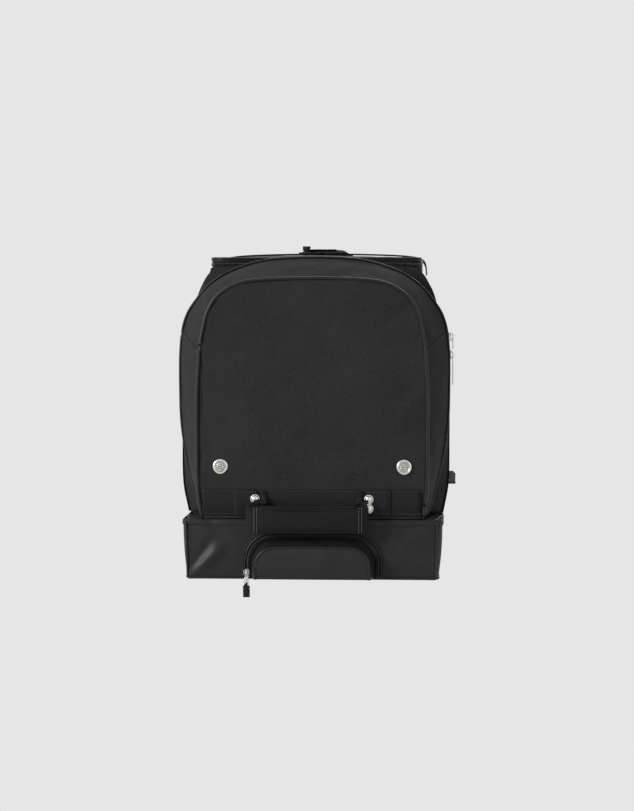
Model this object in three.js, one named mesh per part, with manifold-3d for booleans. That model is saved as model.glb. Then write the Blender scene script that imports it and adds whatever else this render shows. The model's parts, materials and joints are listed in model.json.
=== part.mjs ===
// A wheeled hockey equipment bag, in millimetres, +Z up, standing on its runners and wheels.
// The end with the carry handle faces -Y, the wheels are at +Y, and the origin is on the floor
// under the middle of the bag.
import * as THREE from "three";
import { mergeVertices } from "three/addons/utils/BufferGeometryUtils.js";
import Module from "manifold-3d";

const wasm = await Module();
wasm.setup();

// ---- Driving dimensions -------------------------------------------------------------------
const BASE_Z = 27; // underside of the base above the floor
const BOOT_HEIGHT = 86; // coated lower band of the bag, above the base
const RIM_HEIGHT = 444; // top of the side walls, above the base
const FRONT_Y = -452; // face of the end compartment
const REAR_Y = 467;
const ZIP_Y = -384; // plane of the arch zip, where the end compartment opens
const BULKHEAD_Y = -353; // wall between the end compartment and the main one
const BASE_HALF = 180; // half width at the base
const BOOT_HALF = 186; // half width at the top of the boot
const BELLY_HALF = 194; // half width of the upright side walls
const SHOULDER_Z = 326; // where the side walls start to lean in, above the base
const RIM_HALF = 152; // half width at the top rim
const CLOTH = 3; // thickness of a padded fabric panel
const GAP = 0.4; // clearance between neighbouring pieces

// End panel and its gusset
const PANEL_HALF = 163;
const PANEL_LEAN = 5.3; // degrees that the panel's upper sides lean in
const PANEL_CORNER_R = 70;
const PANEL_CORNER_Z = 354; // height of the corner arc's centre
const PANEL_SIDE_Z = 265; // where the panel's sides start to lean
const ARCH_R = 100; // shoulder arc of the arch zip
const ARCH_Z = 345; // height of that arc's centre
const ARCH_SWEEP = 70; // degrees of that arc
const SEAM_RIM_Z = 326; // the seam across each gusset meets the rim here
const SEAM_PANEL_Z = 308; // and the end panel here

// Webbing, handle and vents on the end panel
const WEBBING = 38; // width of the webbing
const BAND_Z = 91; // underside of the webbing band, above the base
const BAND_HALF = 157;
const PATCH_X = 95; // middle of the sewn patch at each end of the handle
const PATCH_WIDTH = 34;
const RIVET_X = 81;
const RIVET_DROPS = [115, 102]; // heights of the two rivets, above the base
const RIVET_R = 5.4;
const VENT_X = 131;
const VENT_Z = 161;
const VENT_R = 11;
const FOLD = { y: FRONT_Y - 13, z: 110, x: 63, length: 9 }; // folded ends that the handle hangs from
const HANDLE_SHIFT = -4; // the handle hangs a little to the left
const HANDLE_REACH = 19; // how far the grip hangs out in front of its fold
const HANDLE_DROP = 22; // and how far below it
const GRIP_HALF = 80;

// Pull-out handle and the zipped pocket that covers it
const POCKET_HALF = 88;
const POCKET_TOP = 57;
const POCKET_Y = FRONT_Y - 31;
const POCKET_PANEL_HALF = 81;
const POCKET_PANEL_TOP = 48;
const TUBE_X = 56; // half spacing of the two tubes
const TUBE_Z = 22; // height of the tubes' middle, above the base
const TUBE_OUTER = { w: 19, h: 14, rear: 78 };
const TUBE_ROD = { w: 14.6, h: 9.6, rear: 58 };
const TROLLEY_GRIP = { half: 70, y: FRONT_Y - 16.5, depth: 18, height: 24 };

// Running gear
const WHEEL_R = 38;
const WHEEL_WIDTH = 24;
const WHEEL_X = 160;
const WHEEL_Y = 446;
const AXLE_R = 3.8;
const HOUSING = { half: 20, front: 390, rear: 466, inner: 14, cavityR: 42 };
const RUNNER = { x: 96, half: 11, front: -267, rear: 384 };

// Carry straps over the lid
const STRAP_Y = 112; // middle of each leg
const STRAP_Z = 468.3; // underside of the strap, above the base
const STRAP_LIFT = { x: 163, z: 438 }; // top of the sewn webbing, where the free part starts
const STRAP_RUN = 35; // width of the strap along the middle of the lid

// ---- Materials ----------------------------------------------------------------------------
const finish = (color, roughness, metalness = 0) =>
  new THREE.MeshStandardMaterial({ color, roughness, metalness });
const MATERIALS = {
  packcloth: finish(0x232324, 0.85),
  boot: finish(0x1d1d1f, 0.6),
  webbing: finish(0x161616, 0.8),
  lining: finish(0x2a2a2c, 0.9),
  plastic: finish(0x151515, 0.45),
  board: finish(0x303030, 0.7),
  nickel: finish(0xb8b6b0, 0.25, 1),
  aluminium: finish(0x9a9c9f, 0.35, 1),
  rubber: finish(0x1a1a1a, 0.8),
};

// ---- Geometry helpers ---------------------------------------------------------------------
const bag = new THREE.Group();

function add(name, material, geometry, parent = bag) {
  const mesh = new THREE.Mesh(geometry, MATERIALS[material]);
  mesh.name = name;
  parent.add(mesh);
  return mesh;
}

function toSolid(geometry) {
  const bare = new THREE.BufferGeometry();
  const source = geometry.index ? geometry.toNonIndexed() : geometry;
  bare.setAttribute("position", source.getAttribute("position"));
  const merged = mergeVertices(bare, 1e-4);
  return new wasm.Manifold(
    new wasm.Mesh({
      numProp: 3,
      vertProperties: merged.attributes.position.array,
      triVerts: new Uint32Array(merged.index.array),
    }),
  );
}

function toGeometry(solid) {
  const { vertProperties, triVerts } = solid.getMesh();
  const geometry = new THREE.BufferGeometry();
  geometry.setAttribute("position", new THREE.BufferAttribute(new Float32Array(vertProperties), 3));
  geometry.setIndex(new THREE.BufferAttribute(new Uint32Array(triVerts), 1));
  geometry.computeVertexNormals();
  return geometry;
}

const cut = (body, ...tools) =>
  toGeometry(tools.reduce((rest, tool) => rest.subtract(toSolid(tool)), toSolid(body)));
const join = (body, ...others) =>
  toGeometry(others.reduce((rest, other) => rest.add(toSolid(other)), toSolid(body)));

// A box from its lowest and highest corners; heights are above the base.
function box([x0, y0, z0], [x1, y1, z1]) {
  const geometry = new THREE.BoxGeometry(x1 - x0, y1 - y0, z1 - z0);
  return geometry.translate((x0 + x1) / 2, (y0 + y1) / 2, (z0 + z1) / 2 + BASE_Z);
}

const shapeOf = (points) => new THREE.Shape(points.map(([a, b]) => new THREE.Vector2(a, b)));

// An outline of (x, height) pushed along Y from y0 to y1.
function alongY(points, y0, y1, holes = []) {
  const shape = shapeOf(points);
  holes.forEach((hole) => shape.holes.push(new THREE.Path(shapeOf(hole).getPoints())));
  const geometry = new THREE.ExtrudeGeometry(shape, { depth: y1 - y0, bevelEnabled: false });
  return geometry.rotateX(Math.PI / 2).translate(0, y1, BASE_Z);
}

// An outline of (y, height) pushed along X from x0 to x1.
function alongX(points, x0, x1) {
  const geometry = new THREE.ExtrudeGeometry(shapeOf(points), {
    depth: x1 - x0,
    bevelEnabled: false,
  });
  const turn = new THREE.Matrix4().makeBasis(
    new THREE.Vector3(0, 1, 0),
    new THREE.Vector3(0, 0, 1),
    new THREE.Vector3(1, 0, 0),
  );
  return geometry.applyMatrix4(turn).translate(x0, 0, BASE_Z);
}

// An outline of (x, y) pushed up from z0 to z1 above the base.
function alongZ(points, z0, z1, holes = []) {
  const shape = shapeOf(points);
  holes.forEach((hole) => shape.holes.push(new THREE.Path(shapeOf(hole).getPoints())));
  const geometry = new THREE.ExtrudeGeometry(shape, { depth: z1 - z0, bevelEnabled: false });
  return geometry.translate(0, 0, z0 + BASE_Z);
}

// A round bar along an axis, centred on (x, y, height).
function rod(radius, length, axis, [x, y, z], sides = 16) {
  const geometry = new THREE.CylinderGeometry(radius, radius, length, sides);
  if (axis === "x") geometry.rotateZ(Math.PI / 2);
  if (axis === "z") geometry.rotateX(Math.PI / 2);
  return geometry.translate(x, y, z + BASE_Z);
}

// A closed sheet between two grids of points, where rows[i][j] and backs[i][j] face each other.
function sheet(rows, backs) {
  const count = rows[0].length;
  const vertices = [...rows.flat(), ...backs.flat()].flat();
  const back = rows.length * count;
  const at = (i, j) => i * count + j;
  const triangles = [];
  const quad = (a, b, c, d) => triangles.push(a, b, c, a, c, d);
  for (let i = 0; i < rows.length - 1; i++)
    for (let j = 0; j < count - 1; j++) {
      quad(at(i, j), at(i, j + 1), at(i + 1, j + 1), at(i + 1, j));
      quad(back + at(i, j), back + at(i + 1, j), back + at(i + 1, j + 1), back + at(i, j + 1));
    }
  const edge = [];
  for (let j = 0; j < count; j++) edge.push(at(0, j));
  for (let i = 1; i < rows.length; i++) edge.push(at(i, count - 1));
  for (let j = count - 2; j >= 0; j--) edge.push(at(rows.length - 1, j));
  for (let i = rows.length - 2; i > 0; i--) edge.push(at(i, 0));
  edge.forEach((a, k) => {
    const b = edge[(k + 1) % edge.length];
    quad(a, back + a, back + b, b);
  });
  const geometry = new THREE.BufferGeometry();
  geometry.setAttribute("position", new THREE.Float32BufferAttribute(vertices, 3));
  geometry.setIndex(triangles);
  if (toSolid(geometry).volume() < 0) {
    for (let k = 0; k < triangles.length; k += 3)
      [triangles[k + 1], triangles[k + 2]] = [triangles[k + 2], triangles[k + 1]];
    geometry.setIndex(triangles);
  }
  geometry.computeVertexNormals();
  return geometry;
}

// The open outline moved sideways: inwards is to the left of the direction of travel.
function offset(points, distance) {
  return points.map(([x, z], i) => {
    const [ax, az] = points[Math.max(i - 1, 0)];
    const [bx, bz] = points[Math.min(i + 1, points.length - 1)];
    const length = Math.hypot(bx - ax, bz - az);
    return [x - ((bz - az) / length) * distance, z + ((bx - ax) / length) * distance];
  });
}

// A strip of the given thickness on the inner side of an open outline.
const strip = (points, thickness) => [...points, ...offset(points, thickness).reverse()];

const mirrored = (points) => points.map(([x, z]) => [-x, z]).reverse();
const radians = THREE.MathUtils.degToRad;

// ---- Outlines -----------------------------------------------------------------------------
// Side wall of the bag from the boot to the rim, on the +X side.
const sideOutline = [
  [BOOT_HALF, BOOT_HEIGHT + GAP],
  [BELLY_HALF, BOOT_HEIGHT + 40],
  [BELLY_HALF, SHOULDER_Z - 16],
  [BELLY_HALF - 3, SHOULDER_Z + 14],
  [RIM_HALF, RIM_HEIGHT],
];

// Points of an arc, then of the shallow arc that carries on from it to the middle of the bag.
function crown(cx, cz, radius, from, to) {
  const points = [];
  const steps = 6;
  for (let i = 0; i <= steps; i++) {
    const a = radians(from + ((to - from) * i) / steps);
    points.push([cx + radius * Math.cos(a), cz + radius * Math.sin(a)]);
  }
  const [x, z] = points[steps];
  const slope = radians(90 - to);
  const wide = x / Math.sin(slope);
  const centre = z - wide * Math.cos(slope);
  for (let i = 1; i <= 3; i++) {
    const a = slope * (1 - i / 3);
    points.push([wide * Math.sin(a), centre + wide * Math.cos(a)]);
  }
  return points;
}

// Half outlines, from the boot up to the middle of the top; inset moves them inwards.
const archHalf = (inset = 0) => [
  [BOOT_HALF - inset, BOOT_HEIGHT + GAP],
  [BELLY_HALF - inset, BOOT_HEIGHT + 40],
  [BELLY_HALF - inset, PANEL_SIDE_Z],
  [BELLY_HALF - inset, SEAM_RIM_Z],
  ...crown(BELLY_HALF - ARCH_R, ARCH_Z, ARCH_R - inset, 2, ARCH_SWEEP),
];
const leanShift = (z) => (z - PANEL_SIDE_Z) * Math.tan(radians(PANEL_LEAN));
const panelHalf = (inset = 0) => [
  [PANEL_HALF - 6 - inset, BOOT_HEIGHT + GAP],
  [PANEL_HALF - inset, BOOT_HEIGHT + 40],
  [PANEL_HALF - inset, PANEL_SIDE_Z],
  [PANEL_HALF - inset - leanShift(SEAM_PANEL_Z), SEAM_PANEL_Z],
  ...crown(PANEL_HALF - 79, PANEL_CORNER_Z, PANEL_CORNER_R - inset, PANEL_LEAN, 86),
];
const whole = (half) => [...half, ...mirrored(half).slice(1)];
const SEAM = 3; // index of the seam point in the half outlines

// ---- Base, boot and running gear ----------------------------------------------------------
function buildBase() {
  const half = BASE_HALF - 8;
  const bootEnd = HOUSING.front - GAP;
  add("base_board", "board", box([-half, FRONT_Y + 6, 0], [half, bootEnd, 4]));
  add("floor_liner", "lining", box([-half, FRONT_Y + 6, 34], [half, bootEnd, 36]));

  const bootSide = [
    [BASE_HALF, 0],
    [BASE_HALF + 3, 40],
    [BOOT_HALF, BOOT_HEIGHT],
  ];
  const right = strip(bootSide, CLOTH);
  const left = right.map(([x, z]) => [-x, z]).reverse();
  add("boot_side_right", "boot", alongY(right, FRONT_Y + CLOTH + GAP, bootEnd));
  add("boot_side_left", "boot", alongY(left, FRONT_Y + CLOTH + GAP, bootEnd));

  const frontWall = [
    [-BASE_HALF, 0],
    [BASE_HALF, 0],
    [BOOT_HALF, BOOT_HEIGHT],
    [-BOOT_HALF, BOOT_HEIGHT],
  ];
  const slot = box([-76, FRONT_Y - 2, 5], [76, FRONT_Y + 8, 42]);
  // the floor of the pocket sticks out from it
  const floorHalf = POCKET_PANEL_HALF;
  const ledge = box([-floorHalf, POCKET_Y + 0.6, 0.4], [floorHalf, FRONT_Y + 1, 2.6]);
  const wall = cut(alongY(frontWall, FRONT_Y, FRONT_Y + CLOTH), slot);
  // and two small shelves close the corners below the gusset
  const outer = BOOT_HALF - CLOTH - 0.7;
  const shelf = (sign) =>
    alongZ(
      [
        [sign * (PANEL_HALF - 11), FRONT_Y + 0.5],
        [sign * outer, FRONT_Y + 0.5],
        [sign * outer, ZIP_Y],
        [sign * (outer - 5), ZIP_Y],
      ],
      BOOT_HEIGHT - 3.2,
      BOOT_HEIGHT - 0.2,
    );
  add("boot_front", "boot", join(wall, ledge, shelf(1), shelf(-1)));
  const inner = WHEEL_X - HOUSING.half - GAP;
  const rearWall = box([-inner, REAR_Y - CLOTH, 0], [inner, REAR_Y, BOOT_HEIGHT]);
  add("boot_rear", "boot", rearWall);
}

function buildRunningGear() {
  for (const [side, sign] of [["left", -1], ["right", 1]]) {
    const x = sign * WHEEL_X;
    const runnerSide = [
      [RUNNER.front, -GAP],
      [RUNNER.front + 14, -BASE_Z],
      [RUNNER.rear - 10, -BASE_Z],
      [RUNNER.rear, -GAP],
    ];
    const runnerX = sign * RUNNER.x;
    const runner = alongX(runnerSide, runnerX - RUNNER.half, runnerX + RUNNER.half);
    add(`runner_${side}`, "plastic", runner);

    const block = box(
      [x - HOUSING.half, HOUSING.front, 0],
      [x + HOUSING.half, HOUSING.rear, BOOT_HEIGHT],
    );
    const wheelZ = WHEEL_R - BASE_Z;
    const cavity = rod(HOUSING.cavityR, 2 * HOUSING.inner, "x", [x, WHEEL_Y, wheelZ], 24);
    const axleHole = rod(AXLE_R + GAP, 2 * HOUSING.half + 4, "x", [x, WHEEL_Y, wheelZ], 12);
    add(`wheel_housing_${side}`, "plastic", cut(block, cavity, axleHole));

    const axle = rod(AXLE_R, 2 * HOUSING.half - 2, "x", [x, WHEEL_Y, wheelZ], 12);
    add(`axle_${side}`, "nickel", axle);

    const hubProfile = [
      [AXLE_R + GAP, -11],
      [14, -11],
      [14, -7],
      [29, -7],
      [29, 7],
      [14, 7],
      [14, 11],
      [AXLE_R + GAP, 11],
      [AXLE_R + GAP, -11],
    ].map(([r, w]) => new THREE.Vector2(r, w));
    const half = WHEEL_WIDTH / 2;
    const tyreProfile = [
      [29 + GAP, -half + 2],
      [WHEEL_R - 5, -half],
      [WHEEL_R, -half + 5],
      [WHEEL_R, half - 5],
      [WHEEL_R - 5, half],
      [29 + GAP, half - 2],
      [29 + GAP, -half + 2],
    ].map(([r, w]) => new THREE.Vector2(r, w));
    for (const [part, material, profile] of [
      ["wheel_hub", "plastic", hubProfile],
      ["wheel_tyre", "rubber", tyreProfile],
    ]) {
      const mesh = add(`${part}_${side}`, material, new THREE.LatheGeometry(profile, 24));
      mesh.rotation.set(Math.PI / 2, 0, Math.PI / 2);
      mesh.position.set(x, WHEEL_Y, WHEEL_R);
    }
  }
}

// ---- Walls, bulkhead and rim --------------------------------------------------------------
function buildWalls() {
  const right = strip(sideOutline, CLOTH);
  const left = right.map(([x, z]) => [-x, z]).reverse();
  add("side_panel_right", "packcloth", alongY(right, BULKHEAD_Y + GAP, REAR_Y - CLOTH - GAP));
  add("side_panel_left", "packcloth", alongY(left, BULKHEAD_Y + GAP, REAR_Y - CLOTH - GAP));

  const section = whole(sideOutline);
  add("rear_panel", "packcloth", alongY(section, REAR_Y - CLOTH, REAR_Y));
  const lower = 37; // the bulkhead stands on the floor liner
  const footing = [
    [-BASE_HALF + 6, lower],
    [BASE_HALF - 6, lower],
    [BASE_HALF - 2, BOOT_HEIGHT + GAP],
  ];
  const bulkhead = [...footing, ...section];
  bulkhead.push([-BASE_HALF + 2, BOOT_HEIGHT + GAP]);
  const arch = whole(archHalf());
  add(
    "bulkhead",
    "lining",
    join(
      alongY(bulkhead, BULKHEAD_Y - 2.6, BULKHEAD_Y),
      alongY(arch, BULKHEAD_Y - 2.8, BULKHEAD_Y - 0.2),
    ),
  );

  // The fixed half of the arch: a band from the bulkhead to the arch zip.
  const bandEnd = BULKHEAD_Y - 2.8 - GAP;
  add("arch_band", "packcloth", alongY(strip(arch, CLOTH), ZIP_Y + GAP, bandEnd));

  // The fixed half of the lid's zip: a frame round the mouth.
  const mouth = (grow) => [
    [-RIM_HALF + grow, BULKHEAD_Y + GAP + grow],
    [RIM_HALF - grow, BULKHEAD_Y + GAP + grow],
    [RIM_HALF - grow, REAR_Y - grow],
    [-RIM_HALF + grow, REAR_Y - grow],
  ];
  const low = RIM_HEIGHT + GAP;
  add("top_frame", "packcloth", alongZ(mouth(0), low, low + 5.6, [mouth(9)]));

  // Webbing sewn up each side in a U, under the free part of the carry straps.
  const outer = offset(sideOutline, -CLOTH);
  const gapped = offset(sideOutline, -GAP);
  const reach = STRAP_Y + WEBBING / 2;
  const clear = STRAP_Y - WEBBING / 2;
  const sewn = alongY([...outer, ...gapped.reverse()], -reach, reach);
  const window = box([100, -clear, BOOT_HEIGHT + WEBBING + 8], [260, clear, 520]);
  const above = box([100, -reach - 5, STRAP_LIFT.z - 1.5], [260, reach + 5, 520]);
  const webbing = cut(sewn, window, above);
  add("side_webbing_right", "webbing", webbing);
  add("side_webbing_left", "webbing", mirrorX(webbing));
}

// A mirrored copy of a geometry, with its faces still pointing out.
function mirrorX(geometry) {
  const copy = geometry.clone().scale(-1, 1, 1);
  const index = copy.index.array;
  for (let k = 0; k < index.length; k += 3)
    [index[k + 1], index[k + 2]] = [index[k + 2], index[k + 1]];
  copy.computeVertexNormals();
  return copy;
}

// ---- Lid ----------------------------------------------------------------------------------
function buildLid() {
  const half = RIM_HALF;
  const front = BULKHEAD_Y + GAP;
  const low = RIM_HEIGHT + 6.4;
  const edge = (grow) => [
    [-half + grow, front + grow],
    [half - grow, front + grow],
    [half - grow, REAR_Y - 4 - grow],
    [-half + grow, REAR_Y - 4 - grow],
  ];
  const border = alongZ(edge(0.6), low, low + 7, [edge(4.6)]);
  const top = [
    [-half - 1, low + 6],
    [half + 1, low + 6],
    [half + 1, low + 9],
    [half * 0.6, low + 13.5],
    [-half * 0.6, low + 13.5],
    [-half - 1, low + 9],
  ];
  add("lid_panel", "packcloth", join(border, alongY(top, front, REAR_Y - 4)));
}

// ---- End compartment flap -----------------------------------------------------------------
const lift = (points, y) => points.map(([x, z]) => [x, y, z + BASE_Z]);

function buildEndFlap() {
  const flap = new THREE.Group();
  bag.add(flap);
  const outline = whole(panelHalf(2));
  const vent = (x) => rod(VENT_R - 3, 12, "y", [x, FRONT_Y, VENT_Z], 16);
  const panel = alongY(outline, FRONT_Y, FRONT_Y + CLOTH);
  add("end_panel", "packcloth", cut(panel, vent(-VENT_X), vent(VENT_X)), flap);

  // Gusset: a sheet from the end panel's edge back and out to the arch zip, in three pieces.
  const faceY = FRONT_Y + CLOTH + GAP;
  const backY = ZIP_Y - GAP;
  const rows = [lift(whole(panelHalf()), faceY), lift(whole(archHalf()), backY)];
  const backs = [
    lift(whole(panelHalf(CLOTH)), faceY),
    lift(whole(archHalf(CLOTH)), backY),
  ];
  const last = rows[0].length - 1;
  const pieces = {
    gusset_right: [0, SEAM],
    gusset_top: [SEAM, last - SEAM],
    gusset_left: [last - SEAM, last],
  };
  for (const [name, [from, to]] of Object.entries(pieces)) {
    // neighbouring pieces meet with a hair of clearance at the seam
    const trim = (row) => {
      const part = row.slice(from, to + 1);
      const ease = (end, next) =>
        end.map((v, k) => v + (next[k] - v) * (0.3 / Math.hypot(...end.map((e, n) => next[n] - e))));
      if (from > 0) part[0] = ease(part[0], part[1]);
      if (to < last) part[part.length - 1] = ease(part[part.length - 1], part[part.length - 2]);
      return part;
    };
    add(name, "packcloth", sheet(rows.map(trim), backs.map(trim)), flap);
  }

  // Piping cord along the edge of the end panel.
  const cordLine = whole(panelHalf(-1.4)).map(
    ([x, z]) => new THREE.Vector3(x, FRONT_Y - 2.2, z + BASE_Z),
  );
  cordLine[0].z += 1.6;
  cordLine[cordLine.length - 1].z += 1.6;
  const section = new THREE.Shape().absarc(0, 0, 1.9, 0, 2 * Math.PI);
  const cord = new THREE.ExtrudeGeometry(section, {
    steps: 40,
    curveSegments: 3,
    bevelEnabled: false,
    extrudePath: new THREE.CatmullRomCurve3(cordLine, false, "centripetal"),
  });
  add("panel_piping", "boot", cord, flap);

  // Webbing band with a doubled patch where each end of the handle is sewn on.
  const face = FRONT_Y - GAP;
  const top = BAND_Z + WEBBING;
  const band = box([-BAND_HALF, face - 1.6, BAND_Z], [BAND_HALF, face, top]);
  const patch = (x) =>
    box(
      [x - PATCH_WIDTH / 2, face - 3.4, BAND_Z + 0.5],
      [x + PATCH_WIDTH / 2, face - 1, top - 0.5],
    );
  add("webbing_band", "webbing", join(band, patch(-PATCH_X), patch(PATCH_X)), flap);

  for (const [side, sign] of [["left", -1], ["right", 1]]) {
    // Two dome rivets on the small washer plate that they clamp.
    const plateY = face - 3.4 - GAP;
    const x = sign * RIVET_X;
    const plate = box([x - 6, plateY - 0.8, 96], [x + 6, plateY, 121]);
    const domes = RIVET_DROPS.map((z) => {
      const dome = new THREE.SphereGeometry(RIVET_R, 12, 8);
      return dome.scale(1, 0.62, 1).translate(x, plateY - 1.2, z + BASE_Z);
    });
    const trimmed = join(plate, ...domes);
    const keep = box([x - 20, plateY - 12, 80], [x + 20, plateY, 140]);
    const riveted = toGeometry(toSolid(trimmed).intersect(toSolid(keep)));
    add(`rivet_plate_${side}`, "nickel", riveted, flap);

    // Vent: a flanged eyelet with a perforated dish.
    const profile = [
      [0, 0.8],
      [VENT_R - 4.6, 0.8],
      [VENT_R - 4.6, -2.4],
      [VENT_R - 3.4, -2.4],
      [VENT_R - 3.4, GAP],
      [VENT_R, GAP],
      [VENT_R, 1.2],
      [VENT_R - 1.5, 2.6],
      [VENT_R - 3.6, 2.8],
      [VENT_R - 4.6, 1.8],
      [0, 1.8],
    ].map(([r, y]) => new THREE.Vector2(r, y));
    const eyelet = add(`vent_${side}`, "nickel", new THREE.LatheGeometry(profile, 24), flap);
    eyelet.rotation.x = Math.PI;
    eyelet.position.set(sign * VENT_X, FRONT_Y, VENT_Z + BASE_Z);
  }
}

// ---- Carry handle on the end flap ---------------------------------------------------------
function buildEndHandle() {
  for (const [side, sign] of [["left", -1], ["right", 1]]) {
    const middle = sign * (FOLD.x + FOLD.length / 2);
    const roll = rod(3.2, FOLD.length - 0.8, "x", [middle, FOLD.y, FOLD.z], 10);
    add(`handle_fold_${side}`, "webbing", roll);
  }

  // Each end of the loop: x, how far out, how far down, half the width there, share of the shift.
  const end = [
    [FOLD.x + FOLD.length, 0, 0, 4, 0],
    [79, 2, 4, 6, 0.3],
    [87, 7, 10, 12, 0.7],
    [88, 14, 17, 17, 1],
    [82, HANDLE_REACH, HANDLE_DROP, 19, 1],
    [GRIP_HALF - 10, HANDLE_REACH, HANDLE_DROP, 19, 1],
  ];
  const side = (sign) =>
    end.map(([x, out, drop, reach, share]) => ({
      plan: [sign * x + share * HANDLE_SHIFT, FOLD.y - out],
      z: FOLD.z - drop + BASE_Z,
      reach,
    }));
  const line = [...side(1), ...side(-1).reverse()];
  const outer = line.map(({ plan }) => plan);
  const edge = (plan, up) => plan.map((xy, i) => [...xy, line[i].z + up * line[i].reach]);
  const inner = offset(outer, 2.4);
  add(
    "handle_loop",
    "webbing",
    sheet([edge(outer, -1), edge(outer, 1)], [edge(inner, -1), edge(inner, 1)]),
  );

  const z = FOLD.z - HANDLE_DROP;
  const y = FOLD.y - HANDLE_REACH;
  const [left, right] = [HANDLE_SHIFT - GRIP_HALF, HANDLE_SHIFT + GRIP_HALF];
  const sleeve = box([left, y - 6, z - 21], [right, y + 7, z + 21]);
  const slit = box([left - 5, y - 3.1, z - 19.5], [right + 5, y + 0.7, z + 19.5]);
  add("handle_wrap", "packcloth", cut(sleeve, slit));
}

// ---- Pull-out handle and its zipped pocket ------------------------------------------------
function roundedArch(half, low, high, radius) {
  const points = [
    [half, low],
    [half, high - radius],
  ];
  for (let i = 1; i <= 5; i++) {
    const a = radians(18 * i);
    points.push([half - radius + radius * Math.cos(a), high - radius + radius * Math.sin(a)]);
  }
  return [...points, ...mirrored(points)];
}

function buildTrolley() {
  for (const [side, sign] of [["left", -1], ["right", 1]]) {
    const x = sign * TUBE_X;
    const frame = ({ w, h }, grow = 0) => [
      [x - w / 2 + grow, TUBE_Z - h / 2 + grow],
      [x + w / 2 - grow, TUBE_Z - h / 2 + grow],
      [x + w / 2 - grow, TUBE_Z + h / 2 - grow],
      [x - w / 2 + grow, TUBE_Z + h / 2 - grow],
    ];
    const outer = alongY(frame(TUBE_OUTER), FRONT_Y + 4, TUBE_OUTER.rear, [frame(TUBE_OUTER, 1.6)]);
    add(`trolley_tube_${side}`, "aluminium", outer);
    const gripBack = TROLLEY_GRIP.y + TROLLEY_GRIP.depth / 2;
    const rodSolid = alongY(frame(TUBE_ROD), gripBack + GAP, TUBE_ROD.rear, [frame(TUBE_ROD, 1.4)]);
    add(`trolley_rod_${side}`, "aluminium", rodSolid);
  }
  const hole = (sign) =>
    box(
      [sign * TUBE_X - 8.3, FRONT_Y - 4, TUBE_Z - 5.8],
      [sign * TUBE_X + 8.3, FRONT_Y + 8, TUBE_Z + 5.8],
    );
  const bezel = box([-75, FRONT_Y + 0.2, 6], [75, FRONT_Y + 3.2, 41]);
  add("trolley_bezel", "plastic", cut(bezel, hole(-1), hole(1)));

  const { half, y, depth, height } = TROLLEY_GRIP;
  const d = depth / 2;
  const h = height / 2;
  const gripSide = [
    [y - d, TUBE_Z - h + 5],
    [y - d + 5, TUBE_Z - h],
    [y + d - 3, TUBE_Z - h],
    [y + d, TUBE_Z - h + 3],
    [y + d, TUBE_Z + h - 3],
    [y + d - 3, TUBE_Z + h],
    [y - d + 5, TUBE_Z + h],
    [y - d, TUBE_Z + h - 5],
  ];
  const seat = box([-15, y - d - 2, TUBE_Z - 5], [15, y - d + 6, TUBE_Z + 5]);
  add("trolley_grip", "plastic", cut(alongX(gripSide, -half, half), seat));
  const button = box([-14.5, y - d - 1.6, TUBE_Z - 4.5], [14.5, y - d + 3.4, TUBE_Z + 4.5]);
  add("trolley_button", "plastic", button);

  // The pocket's cover, which folds down over its front edge.
  const outerLine = roundedArch(POCKET_HALF, 3, POCKET_TOP, 36);
  const innerLine = roundedArch(POCKET_PANEL_HALF, 3, POCKET_PANEL_TOP, 28);
  const [back, face] = [FRONT_Y - GAP, POCKET_Y + 1];
  const gusset = sheet(
    [lift(outerLine, back), lift(innerLine, face)],
    [lift(offset(outerLine, 2.4), back), lift(offset(innerLine, 2.4), face)],
  );
  const frontLine = roundedArch(POCKET_PANEL_HALF + 0.6, 2.9, POCKET_PANEL_TOP + 0.6, 28.6);
  const front = alongY(frontLine, POCKET_Y, POCKET_Y + 2.4);
  add("pocket_cover", "boot", join(front, gusset));
}

// ---- Carry straps over the lid ------------------------------------------------------------
function buildStraps() {
  const reach = STRAP_Y + WEBBING / 2;
  const clear = STRAP_Y - WEBBING / 2;
  // A leg rises from the sewn webbing, clear of the lid's zip, and turns in over the lid.
  const over = STRAP_Z + 2.6;
  const profile = [
    [1, STRAP_Z],
    [156, STRAP_Z],
    [STRAP_LIFT.x - 2.6, STRAP_Z - 7],
    [STRAP_LIFT.x - 2.6, STRAP_LIFT.z],
    [STRAP_LIFT.x, STRAP_LIFT.z],
    [STRAP_LIFT.x, STRAP_Z - 6],
    [157, over],
    [1, over],
  ];
  const whole = alongY(profile, -reach, reach);
  const middle = box([1 + STRAP_RUN, -clear, STRAP_LIFT.z - 5], [260, clear, over + 5]);
  const strap = cut(whole, middle);
  add("carry_strap_right", "webbing", strap);
  add("carry_strap_left", "webbing", mirrorX(strap));
  const half = STRAP_RUN + 4;
  const sleeve = box([-half, -62, STRAP_Z - 3], [half, 62, STRAP_Z + 10]);
  const slit = box([-half + 2, -70, STRAP_Z - 0.6], [half - 2, 70, STRAP_Z + 3.2]);
  add("strap_wrap", "packcloth", cut(sleeve, slit));
}

// ---- Zip sliders and pulls ----------------------------------------------------------------
// A slider at the origin on a surface facing +X, with its zip running along Z or Y.
function slider(along) {
  const [dy, dz] = along === "z" ? [4.5, 7] : [7, 4];
  const body = box([0, -dy, -dz - BASE_Z], [3.2, dy, dz - BASE_Z]);
  const bail = box([3, -1.6, -3 - BASE_Z], [5, 1.6, 3 - BASE_Z]);
  return join(body, bail);
}

// A pull that hangs down from its hinge at the origin.
function pull(length, width) {
  const plate = box([-0.8, -width / 2, -length - BASE_Z], [0.8, width / 2, -3.4 - BASE_Z]);
  const eye = box([-2, -width / 4, -length + 4 - BASE_Z], [2, width / 4, -length + 12 - BASE_Z]);
  return cut(plate, eye);
}

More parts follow.
